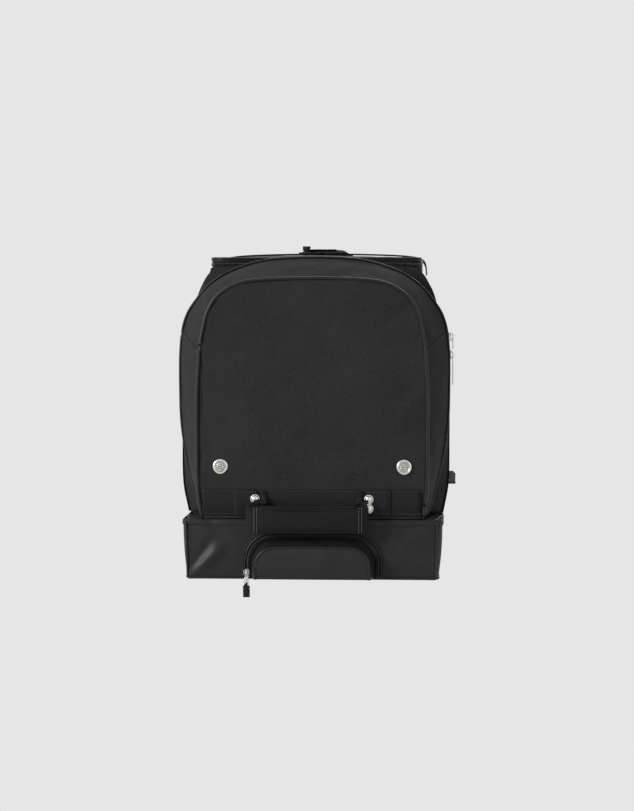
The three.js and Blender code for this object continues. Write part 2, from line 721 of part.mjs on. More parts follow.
function buildZips() {
  const place = (name, geometry, [x, y, z], turn = 0, spin = 0) => {
    const mesh = add(name, "nickel", geometry);
    mesh.position.set(x, y, z + BASE_Z);
    mesh.rotation.set(0, turn, spin);
  };
  // Two sliders of the arch zip, parked on the right side below the shoulder.
  const archX = BELLY_HALF + GAP;
  place("arch_slider_lower", slider("z"), [archX, ZIP_Y, 319]);
  place("arch_pull_lower", pull(44, 8), [archX + 6.2, ZIP_Y, 319]);
  place("arch_slider_upper", slider("z"), [archX, ZIP_Y, ARCH_Z]);
  place("arch_pull_upper", pull(18, 8), [archX + 6.2, ZIP_Y, ARCH_Z]);
  // Two sliders of the lid's zip, meeting on the left side behind the carry straps.
  const lean = Math.atan2(BELLY_HALF - RIM_HALF, RIM_HEIGHT - SHOULDER_Z);
  const lidX = -(RIM_HALF + 1 + GAP);
  for (const [name, y] of [["front", 176], ["rear", 193]]) {
    place(`lid_slider_${name}`, slider("y"), [lidX, y, RIM_HEIGHT + 7], 0, Math.PI);
    place(`lid_pull_${name}`, pull(30, 8), [lidX - 6.2, y, RIM_HEIGHT + 7], lean, Math.PI);
  }
  // The pocket's slider, closed at the bottom of its left side.
  const sliderX = -POCKET_HALF - 5.4;
  place("pocket_slider", slider("z"), [sliderX, FRONT_Y - GAP, 8], 0, -Math.PI / 2);
  place("pocket_pull", pull(34, 9), [sliderX, FRONT_Y - GAP - 6.2, 8], 0, -Math.PI / 2);
}

buildBase();
buildRunningGear();
buildWalls();
buildLid();
buildEndFlap();
buildEndHandle();
buildTrolley();
buildStraps();
buildZips();

export default bag;
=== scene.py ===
# %% [markdown]
# # A wheeled hockey bag, piece by piece
# The bag's hard parts and the space that each soft part fills come from a CAD model, which is
# loaded here as a fixed frame. Everything below gives those parts their real surface: cloth that
# sags, webbing with its ribs, zips with their teeth, and metal that shines. Each piece is then
# hung on the CAD body that it moves with.

# %% Load the frame
import bpy
import bmesh
import json
import math
from mathutils import Matrix, Vector, noise

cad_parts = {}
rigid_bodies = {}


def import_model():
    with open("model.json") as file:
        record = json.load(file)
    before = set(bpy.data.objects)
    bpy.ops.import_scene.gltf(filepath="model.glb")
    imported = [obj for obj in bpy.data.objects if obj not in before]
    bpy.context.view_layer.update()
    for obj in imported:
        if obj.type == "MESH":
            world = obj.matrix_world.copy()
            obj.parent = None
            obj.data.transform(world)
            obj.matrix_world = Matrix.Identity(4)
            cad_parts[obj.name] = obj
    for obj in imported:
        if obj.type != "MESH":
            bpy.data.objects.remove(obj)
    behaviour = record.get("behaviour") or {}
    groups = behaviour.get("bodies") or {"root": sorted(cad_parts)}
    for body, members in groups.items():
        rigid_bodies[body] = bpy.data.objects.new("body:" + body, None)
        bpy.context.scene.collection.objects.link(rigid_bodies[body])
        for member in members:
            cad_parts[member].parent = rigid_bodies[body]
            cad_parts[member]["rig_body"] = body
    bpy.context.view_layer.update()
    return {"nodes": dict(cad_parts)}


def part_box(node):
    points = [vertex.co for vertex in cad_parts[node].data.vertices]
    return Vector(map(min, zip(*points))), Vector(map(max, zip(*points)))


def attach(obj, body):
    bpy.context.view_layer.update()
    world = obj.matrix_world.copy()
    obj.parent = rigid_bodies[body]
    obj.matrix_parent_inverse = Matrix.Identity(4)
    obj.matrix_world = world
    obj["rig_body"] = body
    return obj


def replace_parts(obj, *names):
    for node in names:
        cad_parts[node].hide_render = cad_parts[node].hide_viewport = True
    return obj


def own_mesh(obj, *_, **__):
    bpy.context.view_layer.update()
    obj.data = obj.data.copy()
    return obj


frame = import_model()
nodes = frame["nodes"]
print(len(nodes), "CAD nodes")

# %% [markdown]
# ## Measures
# Every position comes from the CAD model, so that a change there carries through to here. Heights
# on the bag are easier to think about from the underside of its base, so `at` takes such a height
# in millimetres and gives a point in metres above the floor.

# %% Read the main measures off the CAD nodes
mm = 0.001
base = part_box("base_board")[0][2]
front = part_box("end_panel")[0][1]
zip_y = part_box("arch_band")[0][1] - 0.4 * mm
wall_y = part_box("bulkhead")[1][1]
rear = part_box("rear_panel")[1][1]
rim_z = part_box("side_panel_right")[1][2]
boot_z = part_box("boot_front")[1][2]


def at(x, y, height):
    """A point from x and height in millimetres and y in metres; height is above the base."""
    return Vector((x * mm, y, base + height * mm))


print("front", round(front, 3), "zip", round(zip_y, 3), "wall", round(wall_y, 3), "rear", rear)

# %% [markdown]
# ## Camera
# The camera comes first. It stands low and a long way back, a little to the right, with a long
# lens: that keeps the bag's upright lines parallel.

# %% Place the camera
distance = 2.95
turn = math.radians(3.0)
tilt_down = math.radians(3.04)
aim_side = 7.1 * mm
eye_height = 405 * mm
eye = Vector((
    distance * math.sin(turn) + aim_side * math.cos(turn),
    front - distance * math.cos(turn) + aim_side * math.sin(turn),
    base + eye_height,
))
lens_data = bpy.data.cameras.new("camera")
lens_data.lens = 92.2
lens_data.sensor_width = 36
lens_data.sensor_fit = "AUTO"
lens_data.clip_end = 60
camera = bpy.data.objects.new("camera", lens_data)
bpy.context.scene.collection.objects.link(camera)
camera.location = eye
camera.rotation_euler = (math.pi / 2 - tilt_down, 0, turn)
bpy.context.scene.camera = camera
print("camera at", [round(v, 3) for v in eye])

# %% [markdown]
# ## A small language for finishes
# A finish is a tree of shader nodes. Writing one node at a time hides the idea behind the
# plumbing, so `Wire` stands for a value on its way through the tree, and arithmetic on it adds
# the Math nodes. `Finish.node` makes any other node from its type, its settings and its sockets.

# %% Wires and finishes
class Wire:
    """A value on its way through a finish's nodes."""

    def __init__(self, finish, socket):
        self.finish = finish
        self.socket = socket

    def maths(self, operation, *values):
        sockets = dict(enumerate(values))
        return self.finish.node("ShaderNodeMath", {"operation": operation}, sockets)

    def __add__(self, other):
        return self.maths("ADD", self, other)

    def __sub__(self, other):
        return self.maths("SUBTRACT", self, other)

    def __rsub__(self, other):
        return self.maths("SUBTRACT", other, self)

    def __mul__(self, other):
        return self.maths("MULTIPLY", self, other)

    def __truediv__(self, other):
        return self.maths("DIVIDE", self, other)

    def __pow__(self, other):
        return self.maths("POWER", self, other)

    __radd__ = __add__
    __rmul__ = __mul__

    def wave(self, pitch):
        """A ripple from 0 to 1 that repeats every pitch."""
        return self.maths("SINE", self * (2 * math.pi / pitch)) * 0.5 + 0.5


class Finish:
    """A material whose varying looks are worked out from where a point is on the cloth."""

    def __init__(self, name, roughness, metallic=0.0, coat=0.0, sheen=0.0, specular=0.5):
        self.material = bpy.data.materials.new(name)
        self.material.use_nodes = True
        self.tree = self.material.node_tree
        self.surface = self.tree.nodes["Principled BSDF"]
        for socket, value in {
            "Roughness": roughness,
            "Metallic": metallic,
            "Coat Weight": coat,
            "Coat Roughness": 0.25,
            "Sheen Weight": sheen,
            "Sheen Roughness": 0.4,
            "Specular IOR Level": specular,
        }.items():
            self.surface.inputs[socket].default_value = value

    def node(self, kind, settings=None, sockets=None, out=0):
        made = self.tree.nodes.new(kind)
        for key, value in (settings or {}).items():
            if key == "stops":
                ramp = made.color_ramp.elements
                while len(ramp) < len(value):
                    ramp.new(0.5)
                for stop, (place, color) in zip(ramp, value):
                    stop.position = place
                    stop.color = color
            else:
                setattr(made, key, value)
        for key, value in (sockets or {}).items():
            if isinstance(value, Wire):
                self.tree.links.new(value.socket, made.inputs[key])
            else:
                made.inputs[key].default_value = value
        return Wire(self, made.outputs[out])

    def feed(self, socket, wire):
        self.tree.links.new(wire.socket, self.surface.inputs[socket])

    def cloth(self):
        """How far along and across its own cloth a point lies, in metres."""
        chart = self.node("ShaderNodeUVMap", {"uv_map": "cloth"})
        split = {"Vector": chart}
        return (
            self.node("ShaderNodeSeparateXYZ", sockets=split, out=0),
            self.node("ShaderNodeSeparateXYZ", sockets=split, out=1),
        )

    def place(self):
        return self.node("ShaderNodeTexCoord", out="Object")

    def speckle(self, scale, detail=2.0, roughness=0.5):
        sockets = {
            "Vector": self.place(),
            "Scale": scale,
            "Detail": detail,
            "Roughness": roughness,
        }
        return self.node("ShaderNodeTexNoise", sockets=sockets)

    def blend(self, share, low, high):
        """A colour between two others."""
        sockets = {"Factor": share, 6: (*low, 1), 7: (*high, 1)}
        return self.node("ShaderNodeMix", {"data_type": "RGBA"}, sockets, out=2)

    def relief(self, height, strength, depth=0.0004):
        sockets = {"Height": height, "Strength": strength, "Distance": depth}
        self.feed("Normal", self.node("ShaderNodeBump", sockets=sockets))


# %% [markdown]
# ## Cloths
# The shell is a plain weave of polyester, coated on its back. From a step away its threads are
# too fine to count, but they break up the light, so the weave is a product of two ripples with a
# fine speckle in the colour. Slow, broad blotches keep a large panel from looking printed. The
# boot's cloth is coated on its face as well: smoother and darker, with a soft gleam.

# %% Woven and coated cloths
def woven(name, dark, light, pitch=0.0011, rough=0.82, bump=0.5, sheen=0.03):
    f = Finish(name, rough, sheen=sheen, specular=0.12)
    along, across = f.cloth()
    weave = along.wave(pitch) * across.wave(pitch)
    weave = weave + (1 - along.wave(pitch)) * (1 - across.wave(pitch))
    broad = f.speckle(11, 2, 0.6)
    fine = f.speckle(480, 1, 0.7)
    share = weave * 0.3 + fine * 0.9 + broad * 0.6 - 0.45
    f.feed("Base Color", f.blend(share, dark, light))
    f.feed("Roughness", broad * 0.14 + (rough - 0.07))
    f.relief(weave * 0.7 + fine * 0.5, bump, 0.00035)
    return f.material


def coated(name, dark, light, rough=0.5, bump=0.25, coat=0.02):
    f = Finish(name, rough, coat=coat, specular=0.2)
    broad = f.speckle(14, 2, 0.6)
    fine = f.speckle(700, 1, 0.6)
    f.feed("Base Color", f.blend(fine * 0.4 + broad * 0.6, dark, light))
    f.feed("Roughness", broad * 0.2 + (rough - 0.1))
    f.relief(fine * 0.6 + broad * 0.8, bump, 0.0003)
    return f.material


pack_cloth = woven("pack_cloth", (0.0055, 0.0055, 0.0058), (0.024, 0.024, 0.0245))
boot_cloth = coated("boot_cloth", (0.005, 0.005, 0.0055), (0.0135, 0.0135, 0.0143))
lining_cloth = woven("lining_cloth", (0.012, 0.012, 0.013), (0.034, 0.034, 0.036), 0.0008, 0.7)
piping_cloth = coated("piping_cloth", (0.004, 0.004, 0.004), (0.0105, 0.0105, 0.011), 0.42, 0.2,
                      0.06)
sleeve_cloth = woven("sleeve_cloth", (0.003, 0.003, 0.003), (0.011, 0.011, 0.0112), 0.0009)

# %% [markdown]
# ## Webbing, tape and thread
# Webbing shows ribs across its width and a firm selvedge down each side. Zip tape is the same
# idea, finer and flatter. Thread is slightly glossy, and a touch lighter than the cloth, which is
# what makes a row of stitches show.

# %% Webbing, zip tape and thread
def ribbed(name, dark, light, rib, rough=0.75, bump=0.9):
    f = Finish(name, rough, sheen=0.02, specular=0.14)
    along, across = f.cloth()
    ribs = along.wave(rib)
    herring = (along + across * 0.6).wave(rib * 1.5) * 0.4
    fine = f.speckle(900, 1, 0.6)
    f.feed("Base Color", f.blend(ribs * 0.4 + herring * 0.4 + fine * 0.4, dark, light))
    f.relief(ribs + herring + fine * 0.3, bump, 0.00035)
    return f.material


webbing = ribbed("webbing", (0.003, 0.003, 0.0031), (0.0115, 0.0115, 0.0118), 0.0019)
zip_tape = ribbed("zip_tape", (0.004, 0.004, 0.004), (0.0115, 0.0115, 0.0118), 0.0009, 0.8, 0.5)


def plain(name, color, rough, metallic=0.0, coat=0.0, scale=600, depth=0.15, spread=0.25):
    """A moulded or metal finish: fine grain in its colour, its gloss and its surface."""
    f = Finish(name, rough, metallic, coat)
    grain = f.speckle(scale, 1, 0.6)
    wear = f.speckle(35, 2, 0.65)
    low = [c * (1 - spread) for c in color]
    high = [min(1, c * (1 + spread)) for c in color]
    f.feed("Base Color", f.blend(grain * 0.5 + wear * 0.5, low, high))
    f.feed("Roughness", wear * 0.16 + (rough - 0.08))
    f.relief(grain, depth, 0.0002)
    return f.material


thread = plain("thread", (0.02, 0.02, 0.021), 0.5, scale=2500, depth=0.6)
pale_thread = plain("pale_thread", (0.075, 0.075, 0.078), 0.45, scale=2500, depth=0.6)
teeth_plastic = plain("teeth_plastic", (0.010, 0.010, 0.010), 0.45)
moulded = plain("moulded_plastic", (0.014, 0.014, 0.015), 0.42, scale=1800, depth=0.35)
board_plastic = plain("board_plastic", (0.03, 0.03, 0.031), 0.55, scale=900, depth=0.4)
nickel = plain("nickel", (0.66, 0.65, 0.62), 0.22, 1.0, scale=300, depth=0.05, spread=0.12)
aluminium = plain("aluminium", (0.45, 0.46, 0.48), 0.34, 1.0, scale=1500, depth=0.08, spread=0.1)
tyre_rubber = plain("tyre_rubber", (0.012, 0.012, 0.012), 0.62, scale=1200, depth=0.5)
print(len(bpy.data.materials), "finishes")

# %% [markdown]
# ## Curves and meshes
# Nearly every piece of a bag is one of three shapes: a sheet between seam lines, a cord or ribbon
# along a seam line, or a small hard part. `flow` draws a smooth line through a few points and
# spreads points evenly along it, `sheet_between` makes the cloth, and `sweep` makes the cords and
# ribbons. Each one also charts the cloth in metres, so that a weave keeps its true size.

# %% Lines
def flow(points, count, closed=False):
    """Evenly spread points on a smooth curve through the given ones."""
    pts = [Vector(p) for p in points]
    if closed:
        ring = [pts[-1], *pts, pts[0], pts[1]]
    else:
        ring = [2 * pts[0] - pts[1], *pts, 2 * pts[-1] - pts[-2]]
    dense = []
    for a, b, c, d in zip(ring, ring[1:], ring[2:], ring[3:]):
        t1 = max((b - a).length, 1e-9) ** 0.5
        t2 = t1 + max((c - b).length, 1e-9) ** 0.5
        t3 = t2 + max((d - c).length, 1e-9) ** 0.5
        for k in range(14):
            t = t1 + (t2 - t1) * k / 14
            ab = a + (b - a) * (t / t1)
            bc = b + (c - b) * ((t - t1) / (t2 - t1))
            cd = c + (d - c) * ((t - t2) / (t3 - t2))
            abc = ab + (bc - ab) * (t / t2)
            bcd = bc + (cd - bc) * ((t - t1) / (t3 - t1))
            dense.append(abc + (bcd - abc) * ((t - t1) / (t2 - t1)))
    dense.append(pts[0] if closed else pts[-1])
    return even(dense, count, closed)


def even(dense, count, closed=False):
    """The same line with points at even distances."""
    run = [0.0]
    for p, q in zip(dense, dense[1:]):
        run.append(run[-1] + (q - p).length)
    steps = count if closed else count - 1
    spread, k = [], 0
    for i in range(count):
        want = run[-1] * i / steps
        while k < len(run) - 2 and run[k + 1] < want:
            k += 1
        share = (want - run[k]) / max(run[k + 1] - run[k], 1e-12)
        spread.append(dense[k].lerp(dense[k + 1], min(share, 1)))
    return spread


def length_of(path):
    return sum((q - p).length for p, q in zip(path, path[1:]))


# %% Sheets of cloth
heart = Vector((0, 0.0, base + 230 * mm))


def new_piece(name, vertices, faces, chart, finish):
    """A smooth-shaded mesh object, with chart giving each corner's place on the cloth."""
    mesh = bpy.data.meshes.new(name)
    mesh.from_pydata([tuple(v) for v in vertices], [], faces)
    if chart:
        layer = mesh.uv_layers.new(name="cloth")
        for polygon in mesh.polygons:
            for corner in polygon.loop_indices:
                layer.data[corner].uv = chart[corner]
    mesh.materials.append(finish)
    mesh.shade_smooth()
    made = bpy.data.objects.new(name, mesh)
    bpy.context.scene.collection.objects.link(made)
    return made


def sheet_between(name, rows, finish, thick=2.4, inside=None, closed=False, rounds=1, flat=None):
    """Cloth through rows of points, thickened towards the inside point.

    flat gives a point's place on the cloth, where that is simpler than measuring along the rows.
    A closed sheet joins each row's ends; with flat it also ends in a face over its last row.
    """
    count = len(rows[0])
    vertices = [p for row in rows for p in row]
    u, v = [], []
    for row in rows:
        run = 0.0
        for j, p in enumerate(row):
            run += (p - row[j - 1]).length if j else 0
            u.append(run)
    for i in range(len(rows)):
        for j in range(count):
            step = (rows[i][j] - rows[i - 1][j]).length if i else 0
            v.append(v[(i - 1) * count + j] + step if i else 0.0)
    faces, chart = [], []
    spans = count if closed else count - 1
    around = length_of(rows[0]) + (rows[0][0] - rows[0][-1]).length
    for i in range(len(rows) - 1):
        for j in range(spans):
            k = (j + 1) % count
            quad = [i * count + j, i * count + k, (i + 1) * count + k, (i + 1) * count + j]
            faces.append(quad)
            spots = [flat(vertices[c]) if flat else (u[c], v[c]) for c in quad]
            if k < j and not flat:
                spots[1] = (around, spots[1][1])
                spots[2] = (around, spots[2][1])
            chart.extend(spots)
    centre = inside if inside is not None else heart
    outward = 0.0
    quads = list(faces)
    if closed and flat:
        faces.append([(len(rows) - 1) * count + j for j in range(count)])
        chart.extend([flat(vertices[c]) for c in faces[-1]])
    for quad in quads:
        a, b, c, d = (vertices[q] for q in quad)
        outward += (c - a).cross(d - b).dot((a + c) / 2 - centre)
    made = new_piece(name, vertices, faces, chart, finish)
    if outward < 0:
        made.data.flip_normals()
    if thick:
        wall = made.modifiers.new("thickness", "SOLIDIFY")
        wall.thickness = thick * mm
        wall.offset = -1
        wall.use_even_offset = False
    if rounds:
        soft = made.modifiers.new("softness", "SUBSURF")
        soft.levels = soft.render_levels = rounds
    return made


# %% Cords and ribbons
def sweep(name, path, section, finish, out=(0, 0, 1), closed=False, rounds=0):
    """A closed section of (across, out) points in millimetres, carried along a path."""
    n = len(path)
    rows = []
    for i, p in enumerate(path):
        before = path[i - 1] if i or closed else path[0]
        after = path[(i + 1) % n] if i < n - 1 or closed else path[-1]
        ahead = (after - before).normalized()
        off = out(p, ahead) if callable(out) else Vector(out)
        if abs(off.normalized().dot(ahead)) > 0.99:
            off = Vector((1, 0, 0)) if abs(ahead.x) < 0.9 else Vector((0, 0, 1))
        side = ahead.cross(off).normalized()
        off = side.cross(ahead).normalized()
        shape = section(i / (n - 1)) if callable(section) else section
        rows.append([p + side * (a * mm) + off * (b * mm) for a, b in shape])
    count = len(rows[0])
    vertices = [p for row in rows for p in row]
    around = [0.0]
    for a, b in zip(rows[0], rows[0][1:] + rows[0][:1]):
        around.append(around[-1] + (b - a).length)
    run = [0.0]
    for p, q in zip(path, path[1:]):
        run.append(run[-1] + (q - p).length)
    run.append(run[-1] + (path[0] - path[-1]).length)
    faces, chart = [], []
    for i in range(n if closed else n - 1):
        for j in range(count):
            k, m = (j + 1) % count, (i + 1) % n
            faces.append([i * count + j, i * count + k, m * count + k, m * count + j])
            for a, b in ((j, i), (j + 1, i), (j + 1, i + 1), (j, i + 1)):
                chart.append((run[b], around[a]))
    if not closed:
        faces.append(list(range(count))[::-1])
        faces.append([(n - 1) * count + j for j in range(count)])
        chart.extend([(0.0, around[j]) for j in range(count)][::-1])
        chart.extend([(run[n - 1], around[j]) for j in range(count)])
    made = new_piece(name, vertices, faces, chart, finish)
    box = bmesh.new()
    box.from_mesh(made.data)
    bmesh.ops.recalc_face_normals(box, faces=box.faces)
    box.to_mesh(made.data)
    box.free()
    if rounds:
        soft = made.modifiers.new("softness", "SUBSURF")
        soft.levels = soft.render_levels = rounds
    return made


def around_y(p, ahead):
    """The outward direction on a line that goes round the bag's length."""
    off = ahead.cross(Vector((0, 1, 0)))
    return off if off.dot(p - heart) > 0 else -off


def around_z(p, ahead):
    """The outward direction on a line that goes round the mouth."""
    off = ahead.cross(Vector((0, 0, 1)))
    return off if off.dot(p - heart) > 0 else -off


def round_section(radius, sides=8):
    angles = [2 * math.pi * k / sides for k in range(sides)]
    return [(radius * math.cos(a), radius * math.sin(a)) for a in angles]


def strip_section(width, thick, low=0.0):
    """A flat strip lying on its surface, with softened edges."""
    w, e = width / 2, min(thick * 0.45, width * 0.2)
    high = low + thick
    return [
        (-w + e, low), (0, low), (w - e, low), (w, low + e), (w, high - e),
        (w - e, high), (0, high), (-w + e, high), (-w, high - e), (-w, low + e),
    ]


def cord(name, path, radius, finish, closed=False, sides=8):
    return sweep(name, path, round_section(radius, sides), finish, closed=closed)


def gather(name, parts):
    """Several pieces joined into one."""
    with bpy.context.temp_override(
        active_object=parts[0], object=parts[0], selected_objects=parts,
        selected_editable_objects=parts,
    ):
        bpy.ops.object.join()
    parts[0].name = name
    return parts[0]


# %% [markdown]
# ## Stitches and zip teeth
# A row of stitches is many short grains of thread lying end to end, each sunk a little into the
# cloth. Building every stitch as a real grain, in one mesh per row, keeps them sharp from close
# by. Zip teeth are the same trick with small blocks on both edges of the tapes.

# %% Rows of stitches and teeth
def scatter(name, spots, grain, finish):
    """One mesh with a copy of grain at each spot, a matrix."""
    shape, sides = grain
    vertices, faces = [], []
    for spot in spots:
        start = len(vertices)
        vertices.extend(spot @ Vector(p) for p in shape)
        faces.extend([start + k for k in side] for side in sides)
    return new_piece(name, vertices, faces, None, finish)


def grain_of(long, wide, high):
    """A spindle along X, in metres."""
    x, y, z = long / 2, wide / 2, high / 2
    points = [(-x, 0, 0)]
    for s in (-0.55, 0.55):
        points += [(s * x, y, 0), (s * x, 0, z), (s * x, -y, 0), (s * x, 0, -z)]
    points.append((x, 0, 0))
    sides = [[0, 1 + (k + 1) % 4, 1 + k] for k in range(4)]
    sides += [[1 + k, 1 + (k + 1) % 4, 5 + (k + 1) % 4, 5 + k] for k in range(4)]
    sides += [[5 + k, 5 + (k + 1) % 4, 9] for k in range(4)]
    return points, sides


def block_of(long, wide, high):
    x, y, z = long / 2, wide / 2, high / 2
    points = [(a * x, b * y, c * z) for a in (-1, 1) for b in (-1, 1) for c in (-1, 1)]
    sides = [[0, 1, 3, 2], [4, 6, 7, 5], [0, 4, 5, 1], [2, 3, 7, 6], [0, 2, 6, 4], [1, 5, 7, 3]]
    return points, sides


def spots_along(path, out, pitch, shift=0.0, side_shift=0.0, slant=0.0):
    """Matrices at even steps: X along the path, Z out of the cloth."""
    count = max(2, int(length_of(path) / (pitch * mm)))
    line = even(path, count)
    spots = []
    for i, p in enumerate(line):
        ahead = (line[min(i + 1, count - 1)] - line[max(i - 1, 0)]).normalized()
        off = out(p, ahead) if callable(out) else Vector(out)
        side = off.cross(ahead).normalized()
        off = ahead.cross(side).normalized()
        middle = p + off * (shift * mm) + side * (side_shift * mm)
        turned = Matrix((ahead, side, off)).transposed() @ Matrix.Rotation(slant, 3, "Z")
        spots.append(Matrix.Translation(middle) @ turned.to_4x4())
    return spots


stitch_grain = grain_of(3.0 * mm, 0.9 * mm, 0.9 * mm)
tooth_block = block_of(1.1 * mm, 2.6 * mm, 1.7 * mm)


def stitches(name, paths, out, body, finish=None, pitch=4.0, lift=0.1):
    spots = [s for path in paths for s in spots_along(path, out, pitch, lift)]
    made = scatter(name, spots, stitch_grain, finish or thread)
    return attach(made, body)


def teeth(name, path, out, body, side, pitch=2.1):
    """One side's teeth; side is +1 or -1 across the path."""
    spots = spots_along(path, out, pitch, 0.9, side * 0.75)
    first = 1 if side < 0 else 0
    made = scatter(name, spots[first:], tooth_block, teeth_plastic)
    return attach(made, body)


# %% [markdown]
# ## How cloth misbehaves
# A sewn panel is never flat. It bulges a little between its seams, and it creases where it is
# pulled. `ridge` says how far a crease that runs between two points lifts a point, and `uneven`
# adds some fine unevenness; each piece moves its points along their outward direction by these
# and by a slow swell of its own.

# %% Creases and unevenness
def ridge(p, start, end, width, height):
    """How far a crease from start to end lifts the point p."""
    along = end - start
    share = max(0.0, min(1.0, (p - start).dot(along) / along.length_squared))
    gap = (p - (start + along * share)).length / (width * mm)
    fade = math.sin(math.pi * min(1.0, 0.12 + 0.88 * share)) ** 0.7
    return height * mm * math.exp(-gap * gap) * fade


def uneven(p, size, height, seed=0.0):
    place = Vector((p.x / size, p.y / size, p.z / size + seed))
    return noise.fractal(place, 0.7, 2.1, 3) * height * mm


print("helpers ready")

# %% [markdown]
# ## Outlines
# Two outlines shape this end of the bag: the edge of the end panel, and the larger arch that its
# zip runs round. Each is given as half a line, from the boot up to the middle of the top, and is
# mirrored and smoothed here. The corner where side turns into top is where a seam crosses.

# %% Outlines of the end
panel_half = [
    (157, 88), (162, 126), (163.5, 200), (163.5, 265), (161, 308), (160, 328), (155.5, 355),
    (148, 383), (136, 402), (118, 415.5), (100, 422.5), (71, 426.5), (36, 428), (0, 428.6),
]
arch_half = [
    (186, 87), (194, 126), (195.5, 200), (195.5, 265), (195, 326), (191, 360), (184, 380),
    (172, 398), (155, 418), (134, 434), (117, 442), (89, 451.5), (60, 457), (27, 459), (0, 459.5),
]
zip_half = [
    (167, 88), (176, 126), (187, 172), (194, 222), (195.5, 265), *arch_half[4:],
]
shoulder_half = [
    (186, 87), (194, 126), (195, 200), (194.5, 290), (190.5, 345), (153.5, 441), (120, 447),
    (89, 452), (60, 457), (27, 459), (0, 459.5),
]
side_half = [(186, 87), (193, 126), (194, 200), (194, 290), (190, 345), (152.5, 442)]


def outline(half, y, count=161, inset=0.0):
    """The whole line at y, from the foot on the right over the top to the foot on the left."""
    both = half + [(-x, h) for x, h in half[-2::-1]]
    shrink = [(x - math.copysign(inset, x) if x else x, h - inset * (h > 300)) for x, h in both]
    return flow([at(x, y, h) for x, h in shrink], count)


def nearest(path, height):
    """Where the line passes a height, on the right."""
    half = path[: len(path) // 2]
    return min(range(len(half)), key=lambda i: abs(half[i].z - base - height * mm))


def stretch(path, start, end, count):
    return even(path[start : end + 1], count)


panel_edge = outline(panel_half, front)
arch_edge = outline(zip_half, zip_y)
print("panel edge", round(length_of(panel_edge), 3), "arch", round(length_of(arch_edge), 3))

# %% [markdown]
# ## End panel
# The end panel is one piece of pack cloth with a thin foam behind it. It stands nearly flat,
# crowned by a few millimetres, and wrinkles a little where the zip pulls at its top corners. It
# is built from rings that shrink from its edge towards its middle, so that the edge stays smooth.

# %% End panel
panel_creases = [
    (at(-150, front, 395), at(-60, front, 330), 9, -1.6),
    (at(150, front, 395), at(70, front, 345), 9, -1.6),
    (at(-155, front, 300), at(-95, front, 250), 10, -1.3),
    (at(158, front, 285), at(100, front, 235), 11, -1.4),
    (at(-158, front, 100), at(-100, front, 150), 9, -1.2),
    (at(158, front, 100), at(105, front, 145), 9, -1.2),
    (at(-40, front, 415), at(30, front, 330), 14, -1.2),
    (at(-20, front, 210), at(60, front, 300), 18, 1.0),
]


def panel_y(x, height):
    """The face of the end panel, crowned between its edges."""
    across = max(0.0, 1 - (x / 164) ** 2)
    up = max(0.0, math.sin(math.pi * min(1.0, max(0.0, (height - 84) / 348))))
    return front - (0.6 + 3.4 * across**0.7 * up**0.6) * mm


def on_panel(x, height, proud=0.0):
    return at(x, panel_y(x, height) - proud * mm, height)


def panel_point(x, height):
    p = on_panel(x, height)
    push = sum(ridge(at(x, front, height), *crease) for crease in panel_creases)
    p.y -= push + uneven(p, 0.11, 2.2) + uneven(p, 0.035, 0.5, 5)
    return p


def finer(scales):
    """The same rings with another three between each two."""
    return [
        a + (b - a) * k / 4 for a, b in zip(scales, scales[1:]) for k in range(4)
    ] + [scales[-1]]


def ring_sheet(name, loop, middle, finish, shape, scales, thick=2.4):
    """A panel of cloth from rings of (x, height), shrinking from loop to the middle.

    The rings are close enough to need no subdivision, which is slow on the face in the middle.
    """
    rows = []
    for s in finer(scales):
        rows.append([shape(middle[0] + (x - middle[0]) * s, middle[1] + (h - middle[1]) * s)
                     for x, h in loop])
    return sheet_between(
        name, rows, finish, thick, closed=True, rounds=0, flat=lambda p: (p.x, p.z)
    )


def flat_loop(path, foot_height, count=40):
    """A line over the top and its foot, as (x, height) pairs all the way round."""
    over = [(p.x / mm, (p.z - base) / mm) for p in path]
    left, right = over[-1][0], over[0][0]
    foot = [(left + (right - left) * i / count, foot_height) for i in range(1, count)]
    return over + foot


ring_scales = [1, 0.985, 0.96, 0.92, 0.86, 0.79, 0.71, 0.63, 0.55, 0.46, 0.37, 0.28, 0.19, 0.1,
               0.03]
end_panel = ring_sheet(
    "end_panel_cloth", flat_loop(panel_edge, 87), (0, 240), pack_cloth, panel_point, ring_scales
)
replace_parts(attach(end_panel, "end_flap"), "end_panel")
print("end panel", [round(v, 3) for v in end_panel.dimensions])

# %% [markdown]
# ## Piping round the end panel
# A covered cord is sewn into the seam between panel and gusset. It is what keeps the arch crisp.
# A flat flange lies on each side of it, with its row of stitches.

# %% Panel piping
def proud(path, out_by, forward):
    """A line moved outwards in its plane, and towards the front."""
    moved = []
    for i, p in enumerate(path):
        ahead = (path[min(i + 1, len(path) - 1)] - path[max(i - 1, 0)]).normalized()
        moved.append(
            p + around_y(p, ahead).normalized() * (out_by * mm) + Vector((0, -forward * mm, 0))
        )
    return moved


forward_out = Vector((0, -1, 0))
piping = cord("panel_piping_cord", proud(panel_edge, 0.8, 1.6), 2.5, piping_cloth)
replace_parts(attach(piping, "end_flap"), "panel_piping")
stitches("panel_seam_stitches", [proud(panel_edge, -4.5, 0.2)], forward_out, "end_flap", lift=0.6)

# %% [markdown]
# ## Gusset of the end compartment
# The gusset widens from the panel's edge back to the arch zip. It is cut in three pieces, and the
# side pieces meet the top one in a slanting seam on each shoulder. Each piece swells a little
# between its edges. The swelling follows a sine, and the unevenness is added on top.

